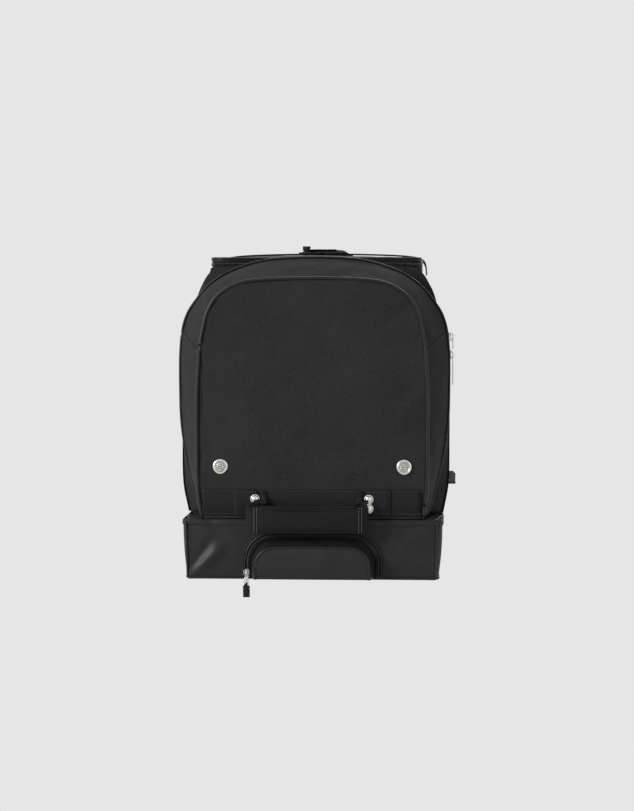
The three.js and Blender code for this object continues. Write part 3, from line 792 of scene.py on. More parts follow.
# %% Gusset
def loft_between(fore, aft, steps, swell, size=0.06, rough=0.9, seed=0.0):
    """Rows from one line to another, swelling outwards between them."""
    rows = []
    for k in range(steps + 1):
        t = k / steps
        row = []
        for i, (a, b) in enumerate(zip(fore, aft)):
            p = a.lerp(b, t)
            ahead = (fore[min(i + 1, len(fore) - 1)] - fore[max(i - 1, 0)]).normalized()
            off = around_y(p, ahead).normalized()
            lift = swell * math.sin(math.pi * t) ** 0.8
            pinned = min(1.0, 5 * min(t, 1 - t) + 0.15)
            row.append(p + off * (lift * mm + uneven(p, size, rough, seed) * pinned))
        rows.append(row)
    return rows


tape_gap = 8.0 * mm
fore = outline(panel_half, front + 1.2 * mm)
aft = outline(zip_half, zip_y - tape_gap, inset=0.9)
seams = [(nearest(fore, 322), nearest(aft, 352))]
ends = [(0, 0), seams[0], (len(fore) - 1 - seams[0][0], len(aft) - 1 - seams[0][1]),
        (len(fore) - 1, len(aft) - 1)]
gusset_seams = []
for name, start, end, count in (
    ("gusset_right", ends[0], ends[1], 44),
    ("gusset_top", ends[1], ends[2], 70),
    ("gusset_left", ends[2], ends[3], 44),
):
    a = stretch(fore, start[0], end[0], count)
    b = stretch(aft, start[1], end[1], count)
    rows = loft_between(a, b, 12, 2.0, size=0.045, rough=1.9, seed=count)
    made = sheet_between(name + "_cloth", rows, pack_cloth, 2.0)
    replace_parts(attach(made, "end_flap"), name)
    if name == "gusset_top":
        gusset_seams = [[row[0] for row in rows], [row[-1] for row in rows]]
for side, line in zip(("right", "left"), gusset_seams):
    seam = cord(f"shoulder_seam_{side}", flow(line, 20), 1.1, piping_cloth)
    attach(seam, "end_flap")
    for shift in (-3.2, 3.2):
        row = [p + Vector((0, 0, shift * mm)) for p in line]
        stitches(f"shoulder_stitches_{side}_{'low' if shift < 0 else 'high'}", [row], around_y,
                 "end_flap", lift=0.9)
print("shoulder seams", [round(length_of(line), 3) for line in gusset_seams])

# %% [markdown]
# ## Arch zip
# A coil zip joins the gusset to the band behind it, so its two halves belong to different bodies:
# one tape and one row of teeth goes with the flap, the other stays on the bag. A thin welt lies
# along each tape. Seen end on, these lines are what draws the outline of the bag.

# %% Both halves of the arch zip
def tape(name, path, width, out, body, thick=0.9, finish=None, low=0.0):
    made = sweep(name, path, strip_section(width, thick, low), finish or zip_tape, out)
    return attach(made, body)


for half_name, y, side, body in (("flap", -4.6, 1, "end_flap"), ("band", 4.6, -1, "bag")):
    line = outline(zip_half, zip_y + y * mm, inset=0.8)
    tape(f"arch_tape_{half_name}", line, 7.6, around_y, body)
    teeth(f"arch_teeth_{half_name}", outline(zip_half, zip_y, inset=0.4), around_y, body, side)
    welt = cord(f"arch_welt_{half_name}", outline(zip_half, zip_y + y * 1.9 * mm, inset=-0.3),
                1.7, piping_cloth)
    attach(welt, body)
    stitches(f"arch_stitches_{half_name}", [outline(zip_half, zip_y + y * 1.35 * mm, inset=0.1)],
             around_y, body, lift=0.5, pitch=3.6)

# %% [markdown]
# ## Band and bulkhead behind the arch
# Behind the zip a narrow band of pack cloth runs back to the bulkhead, the wall between the end
# compartment and the main one. The bulkhead is lining cloth on both sides, and hangs quite flat.

# %% Band and bulkhead
band_rows = loft_between(
    outline(zip_half, zip_y + tape_gap, inset=0.6),
    outline(arch_half, wall_y - 1.0 * mm, inset=0.4), 4, 0.6, rough=0.4,
)
band = sheet_between("arch_band_cloth", band_rows, pack_cloth, 2.0)
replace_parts(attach(band, "bag"), "arch_band")


def wall_point(x, height):
    p = at(x, wall_y - 1.2 * mm, height)
    edge = min(1.0, max(0.0, (190 - abs(x)) / 40)) * min(1.0, max(0.0, (450 - height) / 40))
    p.y -= (uneven(p, 0.12, 2.2, 9) + 1.0 * mm) * edge
    return p


bulkhead = ring_sheet(
    "bulkhead_cloth", flat_loop(outline(shoulder_half, wall_y, inset=1.2), 38), (0, 240),
    lining_cloth,
    wall_point, [1, 0.97, 0.92, 0.84, 0.74, 0.62, 0.5, 0.36, 0.2, 0.04], 1.8,
)
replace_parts(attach(bulkhead, "bag"), "bulkhead")
shoulder_rows = [
    [p.lerp(q, k / 4) for p, q in zip(outline(arch_half, wall_y - 2.6 * mm, inset=1),
                                      outline(shoulder_half, wall_y - 1.8 * mm))]
    for k in range(5)
]
shoulder = sheet_between("shoulder_cloth", shoulder_rows, pack_cloth, 0.8, inside=at(0, 0, 230))
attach(shoulder, "bag")
tape("bulkhead_binding", outline(arch_half, wall_y - 1.6 * mm, inset=-0.2), 4.6, around_y,
     "bag", 1.2)
print("bulkhead", [round(v, 3) for v in bulkhead.dimensions])

# %% [markdown]
# ## Boot
# The lowest band of the bag is coated cloth, folded round a stiff base. Its front piece lies
# between two upright pipings near the corners, and the side pieces start at those and turn the
# corner. The weight of the bag makes it crease from its lower corners.

# %% Boot
boot_half_low, boot_half_high, corner = 180.0, 186.0, 12.0
boot_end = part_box("boot_side_right")[1][1]
boot_top = (boot_z - base) / mm
piping_x = {1: 175.5, -1: -178.0}


def boot_half(height):
    return boot_half_low + (boot_half_high - boot_half_low) * height / boot_top


boot_creases = [
    (at(-176, front, 4), at(-120, front, 52), 8, 4.2),
    (at(-172, front, 14), at(-140, front, 62), 6, -2.6),
    (at(-150, front, 84), at(-110, front, 40), 8, -1.6),
    (at(173, front, 6), at(108, front, 60), 9, 4.0),
    (at(172, front, 24), at(130, front, 66), 7, -2.4),
    (at(150, front, 84), at(116, front, 48), 8, -1.5),
    (at(-60, front, 84), at(-20, front, 66), 7, -1.0),
    (at(55, front, 84), at(30, front, 64), 7, -1.0),
]


def boot_face(x, height, proud_by=0.0):
    """A point on the front of the boot."""
    p = at(x, front, height)
    away = min(1.0, max(0.0, (abs(x) - 92) / 20) + max(0.0, (height - 62) / 12))
    swell = 1.6 * math.sin(math.pi * height / boot_top) * min(1.0, (180 - abs(x)) / 30)
    push = sum(ridge(p, *crease) for crease in boot_creases) + uneven(p, 0.05, 1.1, 3)
    p.y -= (0.6 + swell * away + proud_by) * mm + push * away
    return p


def boot_round(side, s, height):
    """A point on the side piece, s metres back from the upright piping."""
    half = boot_half(height)
    start = abs(piping_x[side]) + height * 0.03
    flat_run = max(0.0, half - corner - start) * mm
    arc = corner * mm * math.pi / 2
    if s < flat_run:
        return at(side * (start + s / mm), front - 0.6 * mm, height)
    if s < flat_run + arc:
        a = (s - flat_run) / (corner * mm)
        x = half - corner + corner * math.sin(a)
        return at(side * x, front + (corner - corner * math.cos(a) - 0.6) * mm, height)
    y = front + corner * mm + (s - flat_run - arc)
    p = at(side * half, y, height)
    swell = 1.8 * math.sin(math.pi * height / boot_top)
    p.x += side * (swell * mm + uneven(p, 0.11, 1.6, 4) * min(1, (y - front) / 0.06))
    return p


front_rows = []
for i in range(23):
    height = 0.5 + (boot_top - 0.5) * i / 22
    left, right = piping_x[-1] - height * 0.03, piping_x[1] + height * 0.03
    front_rows.append([boot_face(left + (right - left) * j / 96, height) for j in range(97)])
boot_front = sheet_between("boot_front_cloth", front_rows, boot_cloth, 2.4)
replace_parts(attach(boot_front, "bag"), "boot_front")
side_run = boot_end - front + 0.004
for side, word in ((1, "right"), (-1, "left")):
    steps = [0, 0.002, 0.004, 0.007, 0.010, 0.013, 0.016, 0.019, 0.022, 0.026, 0.032, 0.045]
    steps += [0.045 + (side_run - 0.045) * k / 40 for k in range(1, 41)]
    rows = [[boot_round(side, s, 0.5 + (boot_top - 0.5) * i / 16) for s in steps]
            for i in range(17)]
    made = sheet_between(f"boot_side_{word}_cloth", rows, boot_cloth, 2.4)
    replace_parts(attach(made, "bag"), f"boot_side_{word}")
    upright = [
        at(piping_x[side] + side * 0.03 * h, front - 1.2 * mm, h) for h in range(2, 86, 3)
    ]
    edge = cord(f"boot_corner_piping_{word}", upright, 1.8, piping_cloth)
    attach(edge, "bag")
    stitches(f"boot_corner_stitches_{word}",
             [[p - Vector((side * 4.6 * mm, 0, 0)) for p in upright]],
             forward_out, "bag", lift=1.0)
    foot = [boot_round(side, s, 1.6) for s in steps]
    low = cord(f"boot_foot_piping_{word}", foot, 1.9, piping_cloth)
    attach(low, "bag")
    hem = [boot_round(side, s, boot_top - 5.6) for s in steps]
    tape(f"boot_hem_{word}", hem, 7.0, around_z, "bag", 1.1, boot_cloth)
    stitches(f"boot_hem_stitches_{word}", [[boot_round(side, s, 79) for s in steps]],
             around_z, "bag", lift=1.3, pitch=4.4)

hem = [boot_face(x, boot_top - 5.6) for x in range(-177, 177, 3)]
tape("boot_hem_front", hem, 7.0, forward_out, "bag", 1.1, boot_cloth)
stitches("boot_hem_stitches_front", [[boot_face(x, 79) for x in range(-176, 175, 4)]], forward_out,
         "bag", lift=1.3, pitch=4.4)
foot = [boot_face(x, 1.6) for x in range(-178, 177, 3)]
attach(cord("boot_foot_piping_front", foot, 1.9, piping_cloth), "bag")
rear_rows = [
    [at(-139 + 278 * j / 40, rear - 0.4 * mm, boot_top * i / 8) + Vector((0, 0.8 * mm, 0))
     * math.sin(math.pi * i / 8) for j in range(41)] for i in range(9)
]
boot_rear = sheet_between("boot_rear_cloth", rear_rows, boot_cloth, 2.4)
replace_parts(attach(boot_rear, "bag"), "boot_rear")
print("boot", [round(v, 3) for v in boot_front.dimensions])

# %% [markdown]
# The gusset is narrower than the boot, so a small shelf closes each corner below it. It is a
# folded end of the boot's cloth.

# %% Corner shelves
for side, word in ((1, "right"), (-1, "left")):
    rows = []
    for i in range(6):
        t = i / 5
        y = front + 0.5 * mm + (zip_y - front) * t
        inner, outer = 152 + 22 * t, boot_half_high - 1.5 - 8 * (1 - t) ** 3
        rows.append([
            at(side * (inner + (outer - inner) * j / 6), y, boot_top - 1.6) for j in range(7)
        ])
    shelf = sheet_between(f"boot_shelf_{word}", rows, boot_cloth, 1.6)
    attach(shelf, "bag")

# %% [markdown]
# ## Small hard parts
# Eyelets, rivets and wheels are turned shapes: a profile spun round an axis. Pulls, sliders and
# the vent's perforated dish are plates cut from an outline, with soft edges. `turned` and
# `plate` make those two kinds, in place: a matrix says where the part sits and which way it faces.

# %% Turned shapes and plates
def facing(point, out, up=(0, 0, 1)):
    """A place whose Z points out and whose Y points as far up as it can."""
    z = Vector(out).normalized()
    x = Vector(up).cross(z).normalized()
    return Matrix.Translation(point) @ Matrix((x, z.cross(x), z)).transposed().to_4x4()


def turned(name, profile, place, finish, sides=40):
    """A closed profile of (radius, height) in millimetres, spun round the place's Z."""
    vertices, faces = [], []
    count = len(profile)
    for k in range(sides):
        a = 2 * math.pi * k / sides
        for r, z in profile:
            vertices.append(place @ (Vector((r * math.cos(a), r * math.sin(a), z)) * mm))
    for k in range(sides):
        m = (k + 1) % sides
        for j in range(count):
            n = (j + 1) % count
            faces.append([k * count + j, m * count + j, m * count + n, k * count + n])
    made = new_piece(name, vertices, faces, None, finish)
    settle(made)
    return made


def settle(made):
    """Joins doubled points and turns every face outwards."""
    box = bmesh.new()
    box.from_mesh(made.data)
    bmesh.ops.remove_doubles(box, verts=box.verts, dist=1e-6)
    bmesh.ops.dissolve_degenerate(box, edges=box.edges, dist=1e-7)
    bmesh.ops.recalc_face_normals(box, faces=box.faces)
    box.to_mesh(made.data)
    box.free()
    made.data.set_sharp_from_angle(angle=math.radians(38))
    return made


def circle(radius, x=0.0, y=0.0, sides=20):
    angles = [2 * math.pi * k / sides for k in range(sides)]
    return [(x + radius * math.cos(a), y + radius * math.sin(a)) for a in angles]


def rounded(w, h, radius, x=0.0, y=0.0, sides=5):
    """A rectangle with round corners, in millimetres."""
    points = []
    for cx, cy, start in ((1, 1, 0), (-1, 1, 90), (-1, -1, 180), (1, -1, 270)):
        for k in range(sides + 1):
            a = math.radians(start + 90 * k / sides)
            points.append((x + cx * (w / 2 - radius) + radius * math.cos(a),
                           y + cy * (h / 2 - radius) + radius * math.sin(a)))
    return points


def plate(name, outlines, thick, place, finish, bevel=0.25):
    """The first outline with the others as holes, in the place's XY plane, thick along its Z."""
    shape = bpy.data.curves.new(name, "CURVE")
    shape.dimensions = "2D"
    shape.fill_mode = "BOTH"
    shape.extrude = (thick / 2 - bevel) * mm
    shape.bevel_depth = bevel * mm
    shape.bevel_resolution = 2
    shape.offset = -bevel * mm
    for points in outlines:
        line = shape.splines.new("POLY")
        line.points.add(len(points) - 1)
        for point, (x, y) in zip(line.points, points):
            point.co = (x * mm, y * mm, 0, 1)
        line.use_cyclic_u = True
    drawn = bpy.data.objects.new(name, shape)
    mesh = bpy.data.meshes.new_from_object(drawn)
    bpy.data.objects.remove(drawn)
    mesh.transform(place @ Matrix.Translation((0, 0, thick / 2 * mm)))
    mesh.materials.clear()
    mesh.materials.append(finish)
    mesh.shade_smooth()
    made = bpy.data.objects.new(name, mesh)
    bpy.context.scene.collection.objects.link(made)
    return settle(made)


def refined(node, finish, bevel=0.8):
    """A CAD part with its hard edges rounded."""
    made = bpy.data.objects.new(node + "_shaped", nodes[node].data.copy())
    bpy.context.scene.collection.objects.link(made)
    made.data.materials.clear()
    made.data.materials.append(finish)
    for polygon in made.data.polygons:
        polygon.material_index = 0
    settle(made)
    box = bmesh.new()
    box.from_mesh(made.data)
    bmesh.ops.dissolve_limit(box, angle_limit=0.02, verts=box.verts, edges=box.edges)
    box.to_mesh(made.data)
    box.free()
    made.data.shade_smooth()
    made.data.set_sharp_from_angle(angle=math.radians(50))
    edge = made.modifiers.new("edge", "BEVEL")
    edge.width = bevel * mm
    edge.segments = 3
    edge.limit_method = "ANGLE"
    edge.angle_limit = math.radians(35)
    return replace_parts(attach(made, frame_body(node)), node)


def frame_body(node):
    return nodes[node]["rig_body"]


def hard(made, body, slot_name, *stands_for):
    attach(made, body)
    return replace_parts(made, *stands_for) if stands_for else made


# %% [markdown]
# ## Band, patches and rivets
# A band of webbing crosses the panel, and the handle hangs from it. Where each of its ends is
# sewn down there is a doubled patch, with a box of stitches and two domed rivets through it.

# %% Webbing band, patches and rivets
band_low, band_high = 91.0, 129.0
band_mid = (band_low + band_high) / 2
line = [on_panel(x, band_mid, 0.2) for x in range(-157, 158, 6)]
band = tape("webbing_band_strip", line, band_high - band_low, forward_out, "end_flap", 1.6, webbing)
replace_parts(band, "webbing_band")
for h, word in ((band_low + 3, "low"), (band_high - 3, "high")):
    stitches(f"band_stitches_{word}", [[on_panel(x, h, 1.7) for x in range(-156, 157, 6)]],
             forward_out, "end_flap", lift=0.2, pitch=3.8)
rivet_profile = [(0, 0), (6.6, 0), (6.6, 0.7), (5.6, 1.0), (5.5, 1.5), (4.9, 2.9), (3.6, 4.0),
                 (2, 4.6), (0, 4.8)]
for side, word in ((1, "right"), (-1, "left")):
    line = [on_panel(side * x, band_mid, 1.8) for x in (78, 86, 95, 104, 112)]
    tape(f"handle_patch_{word}", line, 37, forward_out, "end_flap", 1.7, webbing)
    corners = [(80, 95), (110, 95), (110, 125), (80, 125), (80, 95)]
    box_x = [even([on_panel(side * a, b, 3.5), on_panel(side * c, d, 3.5)], 8)
             for (a, b), (c, d) in zip(corners, corners[1:])]
    stitches(f"patch_stitches_{word}", box_x, forward_out, "end_flap", lift=0.1, pitch=3.4)
    for k, height in enumerate((115, 102)):
        spot = facing(on_panel(side * 81, height, 3.4), forward_out)
        dome = turned(f"rivet_{word}_{k + 1}", rivet_profile, spot, nickel, 28)
        hard(dome, "end_flap", "nickel", *([f"rivet_plate_{word}"] if k == 0 else []))
print("band", round(length_of(line), 3))

# %% [markdown]
# ## Vents
# Damp gear needs air, so a metal eyelet sits in each lower corner of the panel: a rolled ring
# with a dished, perforated plate inside it, over a dark disc of painted shade where the hole
# opens into the bag.

# %% Vent eyelets
ring_profile = [(7.4, 0), (11, 0), (11.2, 0.5), (10.7, 1.5), (9.6, 2.3), (8.6, 2.4), (7.7, 1.8),
                (7.3, 0.8)]
dish_holes = [circle(1.0)]
dish_holes += [circle(0.9, 3.0 * math.cos(a), 3.0 * math.sin(a), 12)
               for a in (math.radians(60 * k) for k in range(6))]
dish_holes += [circle(0.9, 5.6 * math.cos(a), 5.6 * math.sin(a), 12)
               for a in (math.radians(30 * k + 15) for k in range(12))]
for side, word in ((1, "right"), (-1, "left")):
    spot = on_panel(side * 131, 161, 0.4)
    ring = turned(f"vent_ring_{word}", ring_profile, facing(spot, forward_out), nickel, 48)
    hard(ring, "end_flap", "nickel", f"vent_{word}")
    dish = plate(f"vent_dish_{word}", [circle(7.7, sides=48), *dish_holes], 0.7,
                 facing(spot, forward_out), nickel, 0.15)
    for vertex in dish.data.vertices:
        gap = (Vector((vertex.co.x, 0, vertex.co.z)) - Vector((spot.x, 0, spot.z))).length
        vertex.co.y -= 1.1 * mm * (1 - (gap / (7.7 * mm)) ** 2) - 0.5 * mm
    hard(dish, "end_flap", "nickel")
    # The dark disc is painted shade: dark cloth flush with the panel where the hole into the unlit
    # bag would show.
    dark = turned(f"vent_painted_shade_{word}", [(0, 0), (7.2, 0), (7.2, 0.4), (0, 0.4)],
                  facing(spot + Vector((0, 0.6 * mm, 0)), forward_out), piping_cloth, 24)
    hard(dark, "end_flap", "boot_cloth")

# %% [markdown]
# ## Padded pieces
# A padded sleeve is filled cloth, and filled cloth finds its own shape. `puff` lets Blender's
# cloth solver find it: the piece is remeshed into an even skin, blown up a little by pressure,
# kept from wandering, and then frozen. The seams and stitches are sewn on afterwards.

# %% Padding
def block_form(name, low, high, finish, rounding=5.0):
    """A soft block between two corners, in metres."""
    box = bmesh.new()
    bmesh.ops.create_cube(box, size=1)
    for vertex in box.verts:
        for k in range(3):
            vertex.co[k] = low[k] if vertex.co[k] < 0 else high[k]
    bmesh.ops.bevel(box, geom=box.edges[:], offset=rounding * mm, segments=3, affect="EDGES")
    mesh = bpy.data.meshes.new(name)
    box.to_mesh(mesh)
    box.free()
    mesh.materials.append(finish)
    mesh.shade_smooth()
    made = bpy.data.objects.new(name, mesh)
    bpy.context.scene.collection.objects.link(made)
    return made


def puff(made, voxel, cap, pressure=4.0, frames=20, hold=None):
    """Fills the piece like a cushion; hold tells how free a point is, from 0 to 1."""
    remesh = made.modifiers.new("skin", "REMESH")
    remesh.mode = "VOXEL"
    remesh.voxel_size = voxel * mm
    remesh.use_smooth_shade = True
    freeze(made)
    start = [v.co.copy() for v in made.data.vertices]
    cloth = made.modifiers.new("cloth", "CLOTH")
    cloth.settings.use_pressure = True
    cloth.settings.uniform_pressure_force = pressure
    cloth.settings.effector_weights.gravity = 0
    cloth.settings.quality = 6
    scene = bpy.context.scene
    for f in range(1, frames + 1):
        scene.frame_set(f)
    freeze(made)
    scene.frame_set(1)
    for vertex, rest in zip(made.data.vertices, start):
        move = vertex.co - rest
        if move.length > cap * mm:
            move = move.normalized() * cap * mm
        vertex.co = rest + move * (hold(rest) if hold else 1.0)
    soft = made.modifiers.new("softness", "SUBSURF")
    soft.levels = soft.render_levels = 1
    return made


def freeze(made):
    """Turns what the modifiers make into the mesh itself."""
    view = bpy.context.evaluated_depsgraph_get()
    mesh = bpy.data.meshes.new_from_object(made.evaluated_get(view))
    made.modifiers.clear()
    made.data = mesh
    made.data.shade_smooth()


# %% [markdown]
# ## End handle
# The handle is a loop of webbing through two folds sewn to the band. Its ends narrow where they
# are gathered into the folds, then open out to the full width. A padded sleeve wraps the middle,
# closed with two rows of stitches near each end, and it hangs by its own weight.

# %% Loop, folds and padded sleeve
fold_y, fold_height = front - 13 * mm, 110.0
handle_shift = -4.0
loop_end = [(72, 0, 0, 4, 0), (79, 2, 4, 7, 0.3), (86, 7, 10, 12.5, 0.7), (87.5, 13, 16, 17, 1),
            (83, 19, 21.5, 19, 1), (70, 19.6, 22, 19, 1), (40, 19.6, 22, 19, 1)]
loop_spots, loop_half = [], []
loop_right = [(70, 0, 0, 4, 0), (75, 2, 4, 7, 0), (78, 7, 10, 12.5, 0), (79, 13, 16, 17, 0),
              (77, 19, 21.5, 19, 0), (68, 19.6, 22, 19, 0), (40, 19.6, 22, 19, 0)]
for side, table in ((1, loop_right), (-1, loop_end[::-1])):
    for x, out_by, drop, reach, share in table:
        loop_spots.append(at(side * x + share * handle_shift, fold_y - out_by * mm,
                             fold_height - drop))
        loop_half.append(reach)


def loop_out(p, ahead):
    off = ahead.cross(Vector((0, 0, 1)))
    return off if off.y < 0 or abs(off.y) < 0.3 and off.x * p.x > 0 else -off


def loop_section(t):
    place = t * (len(loop_half) - 1)
    k = min(int(place), len(loop_half) - 2)
    half = loop_half[k] + (loop_half[k + 1] - loop_half[k]) * (place - k)
    return strip_section(2 * half, 2.2 + 0.8 * (19 - half) / 15, -1.0)


loop = sweep("handle_loop_strip", loop_spots, loop_section, webbing, loop_out, rounds=1)
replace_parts(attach(loop, "end_handle"), "handle_loop")
for side, word in ((1, "right"), (-1, "left")):
    fold_path = [at(side * x, fold_y + 1.2 * mm, fold_height) for x in (62, 65, 68, 71, 74)]
    roll = sweep(f"handle_fold_{word}_roll", fold_path,
                 [(4.6 * math.cos(a) * (1.5 if math.sin(a) > 0 else 1), 3.2 * math.sin(a))
                  for a in (2 * math.pi * k / 10 for k in range(10))], webbing, rounds=1)
    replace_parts(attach(roll, "end_flap"), f"handle_fold_{word}")
    tab_path = [at(side * 68, fold_y + 2 * mm, fold_height + 2),
                at(side * 68, fold_y + 5 * mm, fold_height + 6),
                on_panel(side * 69, fold_height + 10, 2.6),
                on_panel(side * 69, fold_height + 17, 2.4)]
    tape(f"handle_tab_{word}", flow(tab_path, 10), 7.5, forward_out, "end_flap", 1.6, webbing)

grip_low = ((handle_shift - 79.5) * mm, fold_y - 24.6 * mm, base + 69 * mm)
grip_high = ((handle_shift + 79.5) * mm, fold_y - 13.4 * mm, base + 107 * mm)
sleeve = block_form("handle_sleeve", grip_low, grip_high, sleeve_cloth, 4.5)
sleeve_middle = Vector((handle_shift * mm, fold_y - 19 * mm, base + 88 * mm))


def sleeve_hold(p):
    """Free in the middle, held where the end seams are."""
    return min(1.0, max(0.15, (79 - abs(p.x / mm - handle_shift)) / 14))


puff(sleeve, 3.2, 2.6, 5.0, hold=sleeve_hold)
for vertex in sleeve.data.vertices:
    x = vertex.co.x / mm - handle_shift
    for groove in (-73.5, -69.5, 69.5, 73.5):
        pinch = math.exp(-((x - groove) / 1.3) ** 2) * 0.12
        vertex.co.y += (sleeve_middle.y - vertex.co.y) * pinch
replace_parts(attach(sleeve, "end_handle"), "handle_wrap")
for k, x in enumerate((-76, -72, 72, 76)):
    front_line = [at(handle_shift + x, fold_y - 24.6 * mm, h) for h in range(72, 106, 3)]
    stitches(f"sleeve_end_stitches_{k + 1}", [front_line], forward_out, "end_handle", pale_thread,
             pitch=3.2, lift=0.5)
seam_line = [at(handle_shift + x, fold_y - 25.4 * mm - 0.6 * mm * math.cos(x / 60), 103)
             for x in range(-68, 69, 4)]
stitches("sleeve_seam_stitches", [seam_line], forward_out, "end_handle", pitch=3.6)
overlap = [p + Vector((0, -0.2 * mm, 3 * mm)) for p in seam_line]
overlap_cord = sweep("sleeve_overlap", overlap, strip_section(4, 1.0, -0.6), sleeve_cloth,
                     forward_out)
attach(overlap_cord, "end_handle")
print("sleeve", [round(v, 3) for v in sleeve.dimensions])

# %% [markdown]
# ## Zipped pocket for the pull-out handle
# The small arched pocket stands proud of the boot. Its cover folds down on its lower edge, so the
# cover, its inner zip half and its piping go with the cover's body. The outer zip half is sewn to
# the boot. When the pull-out handle slides through, the cover folds down flat out of its way.

# %% Pocket
pocket_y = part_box("pocket_cover")[0][1]


def arch_line(half, low, high, radius, y, count=70):
    rise = max(high - low - radius, 1)
    right = [(half, low), (half, low + rise * 0.5)]
    right += [(half - radius + radius * math.cos(a), high - radius + radius * math.sin(a))
              for a in (math.radians(15 * k) for k in range(7))]
    both = right + [(half * 0.3, high + 0.6), (0, high + 0.8), (-half * 0.3, high + 0.6)]
    both += [(-x, h) for x, h in right[::-1]]
    return flow([at(x + 1.5, y, h) for x, h in both], count)


def on_cover(made):
    """The piece goes with the pocket's cover and folds down with it."""
    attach(made, "pocket_flap")
    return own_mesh(made)


outer_line = arch_line(88, 3, 57, 34, front - 1.0 * mm)
inner_line = arch_line(81, 3, 48, 27, pocket_y + 1.5 * mm)
rows = loft_between(inner_line, outer_line, 8, 1.3, 0.03, 0.5, 2)
skirt = sheet_between("pocket_gusset", rows, boot_cloth, 1.6, inside=at(0, front, 20))
on_cover(skirt)


def cover_point(x, height):
    swell = max(0.0, 1 - (x / 83) ** 2) ** 0.6 * max(
        0.0, math.sin(math.pi * (height - 2) / 47)) ** 0.6
    p = at(x, pocket_y + (1.0 - 3.2 * swell) * mm, height)
    p.y -= uneven(p, 0.03, 0.6, 6) * swell
    return p


cover = ring_sheet("pocket_cover_face", flat_loop(inner_line, 3.2, 30), (1.5, 24), boot_cloth,
                   cover_point, [1, 0.97, 0.92, 0.84, 0.74, 0.6, 0.44, 0.28, 0.1], 1.6)
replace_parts(on_cover(cover), "pocket_cover")
on_cover(cord("pocket_piping", [p + Vector((0, -0.8 * mm, 0)) for p in inner_line], 2.0,
              piping_cloth))
for name, line, side, mine in (
    ("cover", arch_line(90, 3, 59, 36, front - 2.0 * mm), 1, True),
    ("boot", arch_line(94.5, 2.5, 63.5, 39, front - 2.2 * mm), -1, False),
):
    strip = sweep(f"pocket_tape_{name}", line, strip_section(5, 0.9), zip_tape, forward_out)
    middle = arch_line(92.2, 3, 61.2, 37.5, front - 2.8 * mm)
    spots = spots_along(middle, forward_out, 2.0, 0.4, 0.8 * side)
    coil = scatter(f"pocket_teeth_{name}", spots, tooth_block, teeth_plastic)
    for made, slot_name in ((strip, "webbing"), (coil, "black_plastic")):
        if mine:
            on_cover(made)
        else:
            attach(made, "bag")
rim = arch_line(97.5, 1.5, 66, 41, front - 2.6 * mm)
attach(cord("pocket_rim_piping", rim, 1.7, piping_cloth), "bag")
rim_stitches = arch_line(101, 1.5, 69.5, 43, front - 1.6 * mm)
stitches("pocket_rim_stitches", [rim_stitches], forward_out, "bag", lift=0.5)
print("pocket", [round(v, 3) for v in cover.dimensions])

# %% [markdown]
# ## Sides and back
# The long sides are pack cloth from the boot up to the lid's zip. They bulge where the bag is
# loose and are drawn in under the webbing. The back is one panel, lined up with their edges.

# %% Side walls and back
wall_profile = flow([at(x, 0, h) for x, h in side_half], 34)
side_length = rear - wall_y
strap_y = 112 * mm


def wall_side(side, p, y):
    """A point on a side wall: p gives its height and how far out the wall is there."""
    t = (y - wall_y) / side_length
    high = (p.z - base) / mm
    pinned = min(1.0, t / 0.05, (1 - t) / 0.05) * min(1.0, (high - 84) / 25, (444 - high) / 20)
    drawn = sum(math.exp(-((y - s) / 0.035) ** 2) for s in (-strap_y, strap_y))
    swell = 1.4 * math.sin(math.pi * t) * (1 - 0.7 * min(1, drawn)) - 2.0
    seat = at(p.x / mm, y, high)
    fold = uneven(seat, 0.16, 2.6, 8) * (1 - 0.85 * min(1, drawn)) + uneven(seat, 0.05, 0.7, 2)
    lift = (swell * mm + fold) * max(0.0, pinned)
    slope = 0.0 if high < 300 else min(0.55, (high - 300) / 200)
    return Vector((side * (p.x + lift), y, p.z + lift * slope))


for side, word in ((1, "right"), (-1, "left")):
    rows = [[wall_side(side, p, wall_y + side_length * j / 90) for j in range(91)]
            for p in wall_profile]
    made = sheet_between(f"side_wall_{word}", rows, pack_cloth, 2.4)
    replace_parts(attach(made, "bag"), f"side_panel_{word}")
    edge = [wall_side(side, wall_profile[-1], wall_y + side_length * j / 60) for j in range(61)]
    rim_cord = cord(f"rim_piping_{word}",
                    [p + Vector((side * 0.6 * mm, 0, 1.2 * mm)) for p in edge],
                    1.9, piping_cloth)
    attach(rim_cord, "bag")
    under = [wall_side(side, wall_profile[-3], wall_y + side_length * j / 60) for j in range(61)]
    stitches(f"rim_stitches_{word}", [under], around_y, "bag", lift=0.3)
    for y, corner_name in ((wall_y, "front"), (rear - 0.8 * mm, "rear")):
        line = [Vector((side * p.x, y, p.z)) for p in wall_profile]
        edge_cord = cord(f"wall_piping_{word}_{corner_name}", line, 1.9, piping_cloth)
        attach(edge_cord, "bag")


def back_point(x, height):
    away = max(0.0, 1 - (x / 195) ** 2) * max(0.0, math.sin(math.pi * (height - 86) / 358))
    p = at(x, rear - 0.2 * mm, height)
    p.y += 4.5 * mm * away + uneven(p, 0.1, 1.8, 11) * min(1.0, away * 4)
    return p


back_edge = flow([at(x, rear, h) for x, h in side_half + [(-x, h) for x, h in side_half[::-1]]],
                 161)
back = ring_sheet("rear_panel_cloth", flat_loop(back_edge, 87), (0, 240), pack_cloth, back_point,
                  ring_scales, 2.4)
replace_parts(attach(back, "bag"), "rear_panel")
print("side walls", [round(v, 3) for v in made.dimensions])

# %% [markdown]
# ## Mouth and lid
# The mouth takes up the whole top. A narrow frame of cloth holds the fixed half of its zip, and
# the lid's border holds the other half. The lid is one padded panel, piped round its edge, and
# hinged along its back edge, where the cloth runs on without a zip.

# %% Frame, lid zip and lid
lid_half = 152.5
lid_front, lid_rear = wall_y + 0.4 * mm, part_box("lid_panel")[1][1]
rim_height = (rim_z - base) / mm


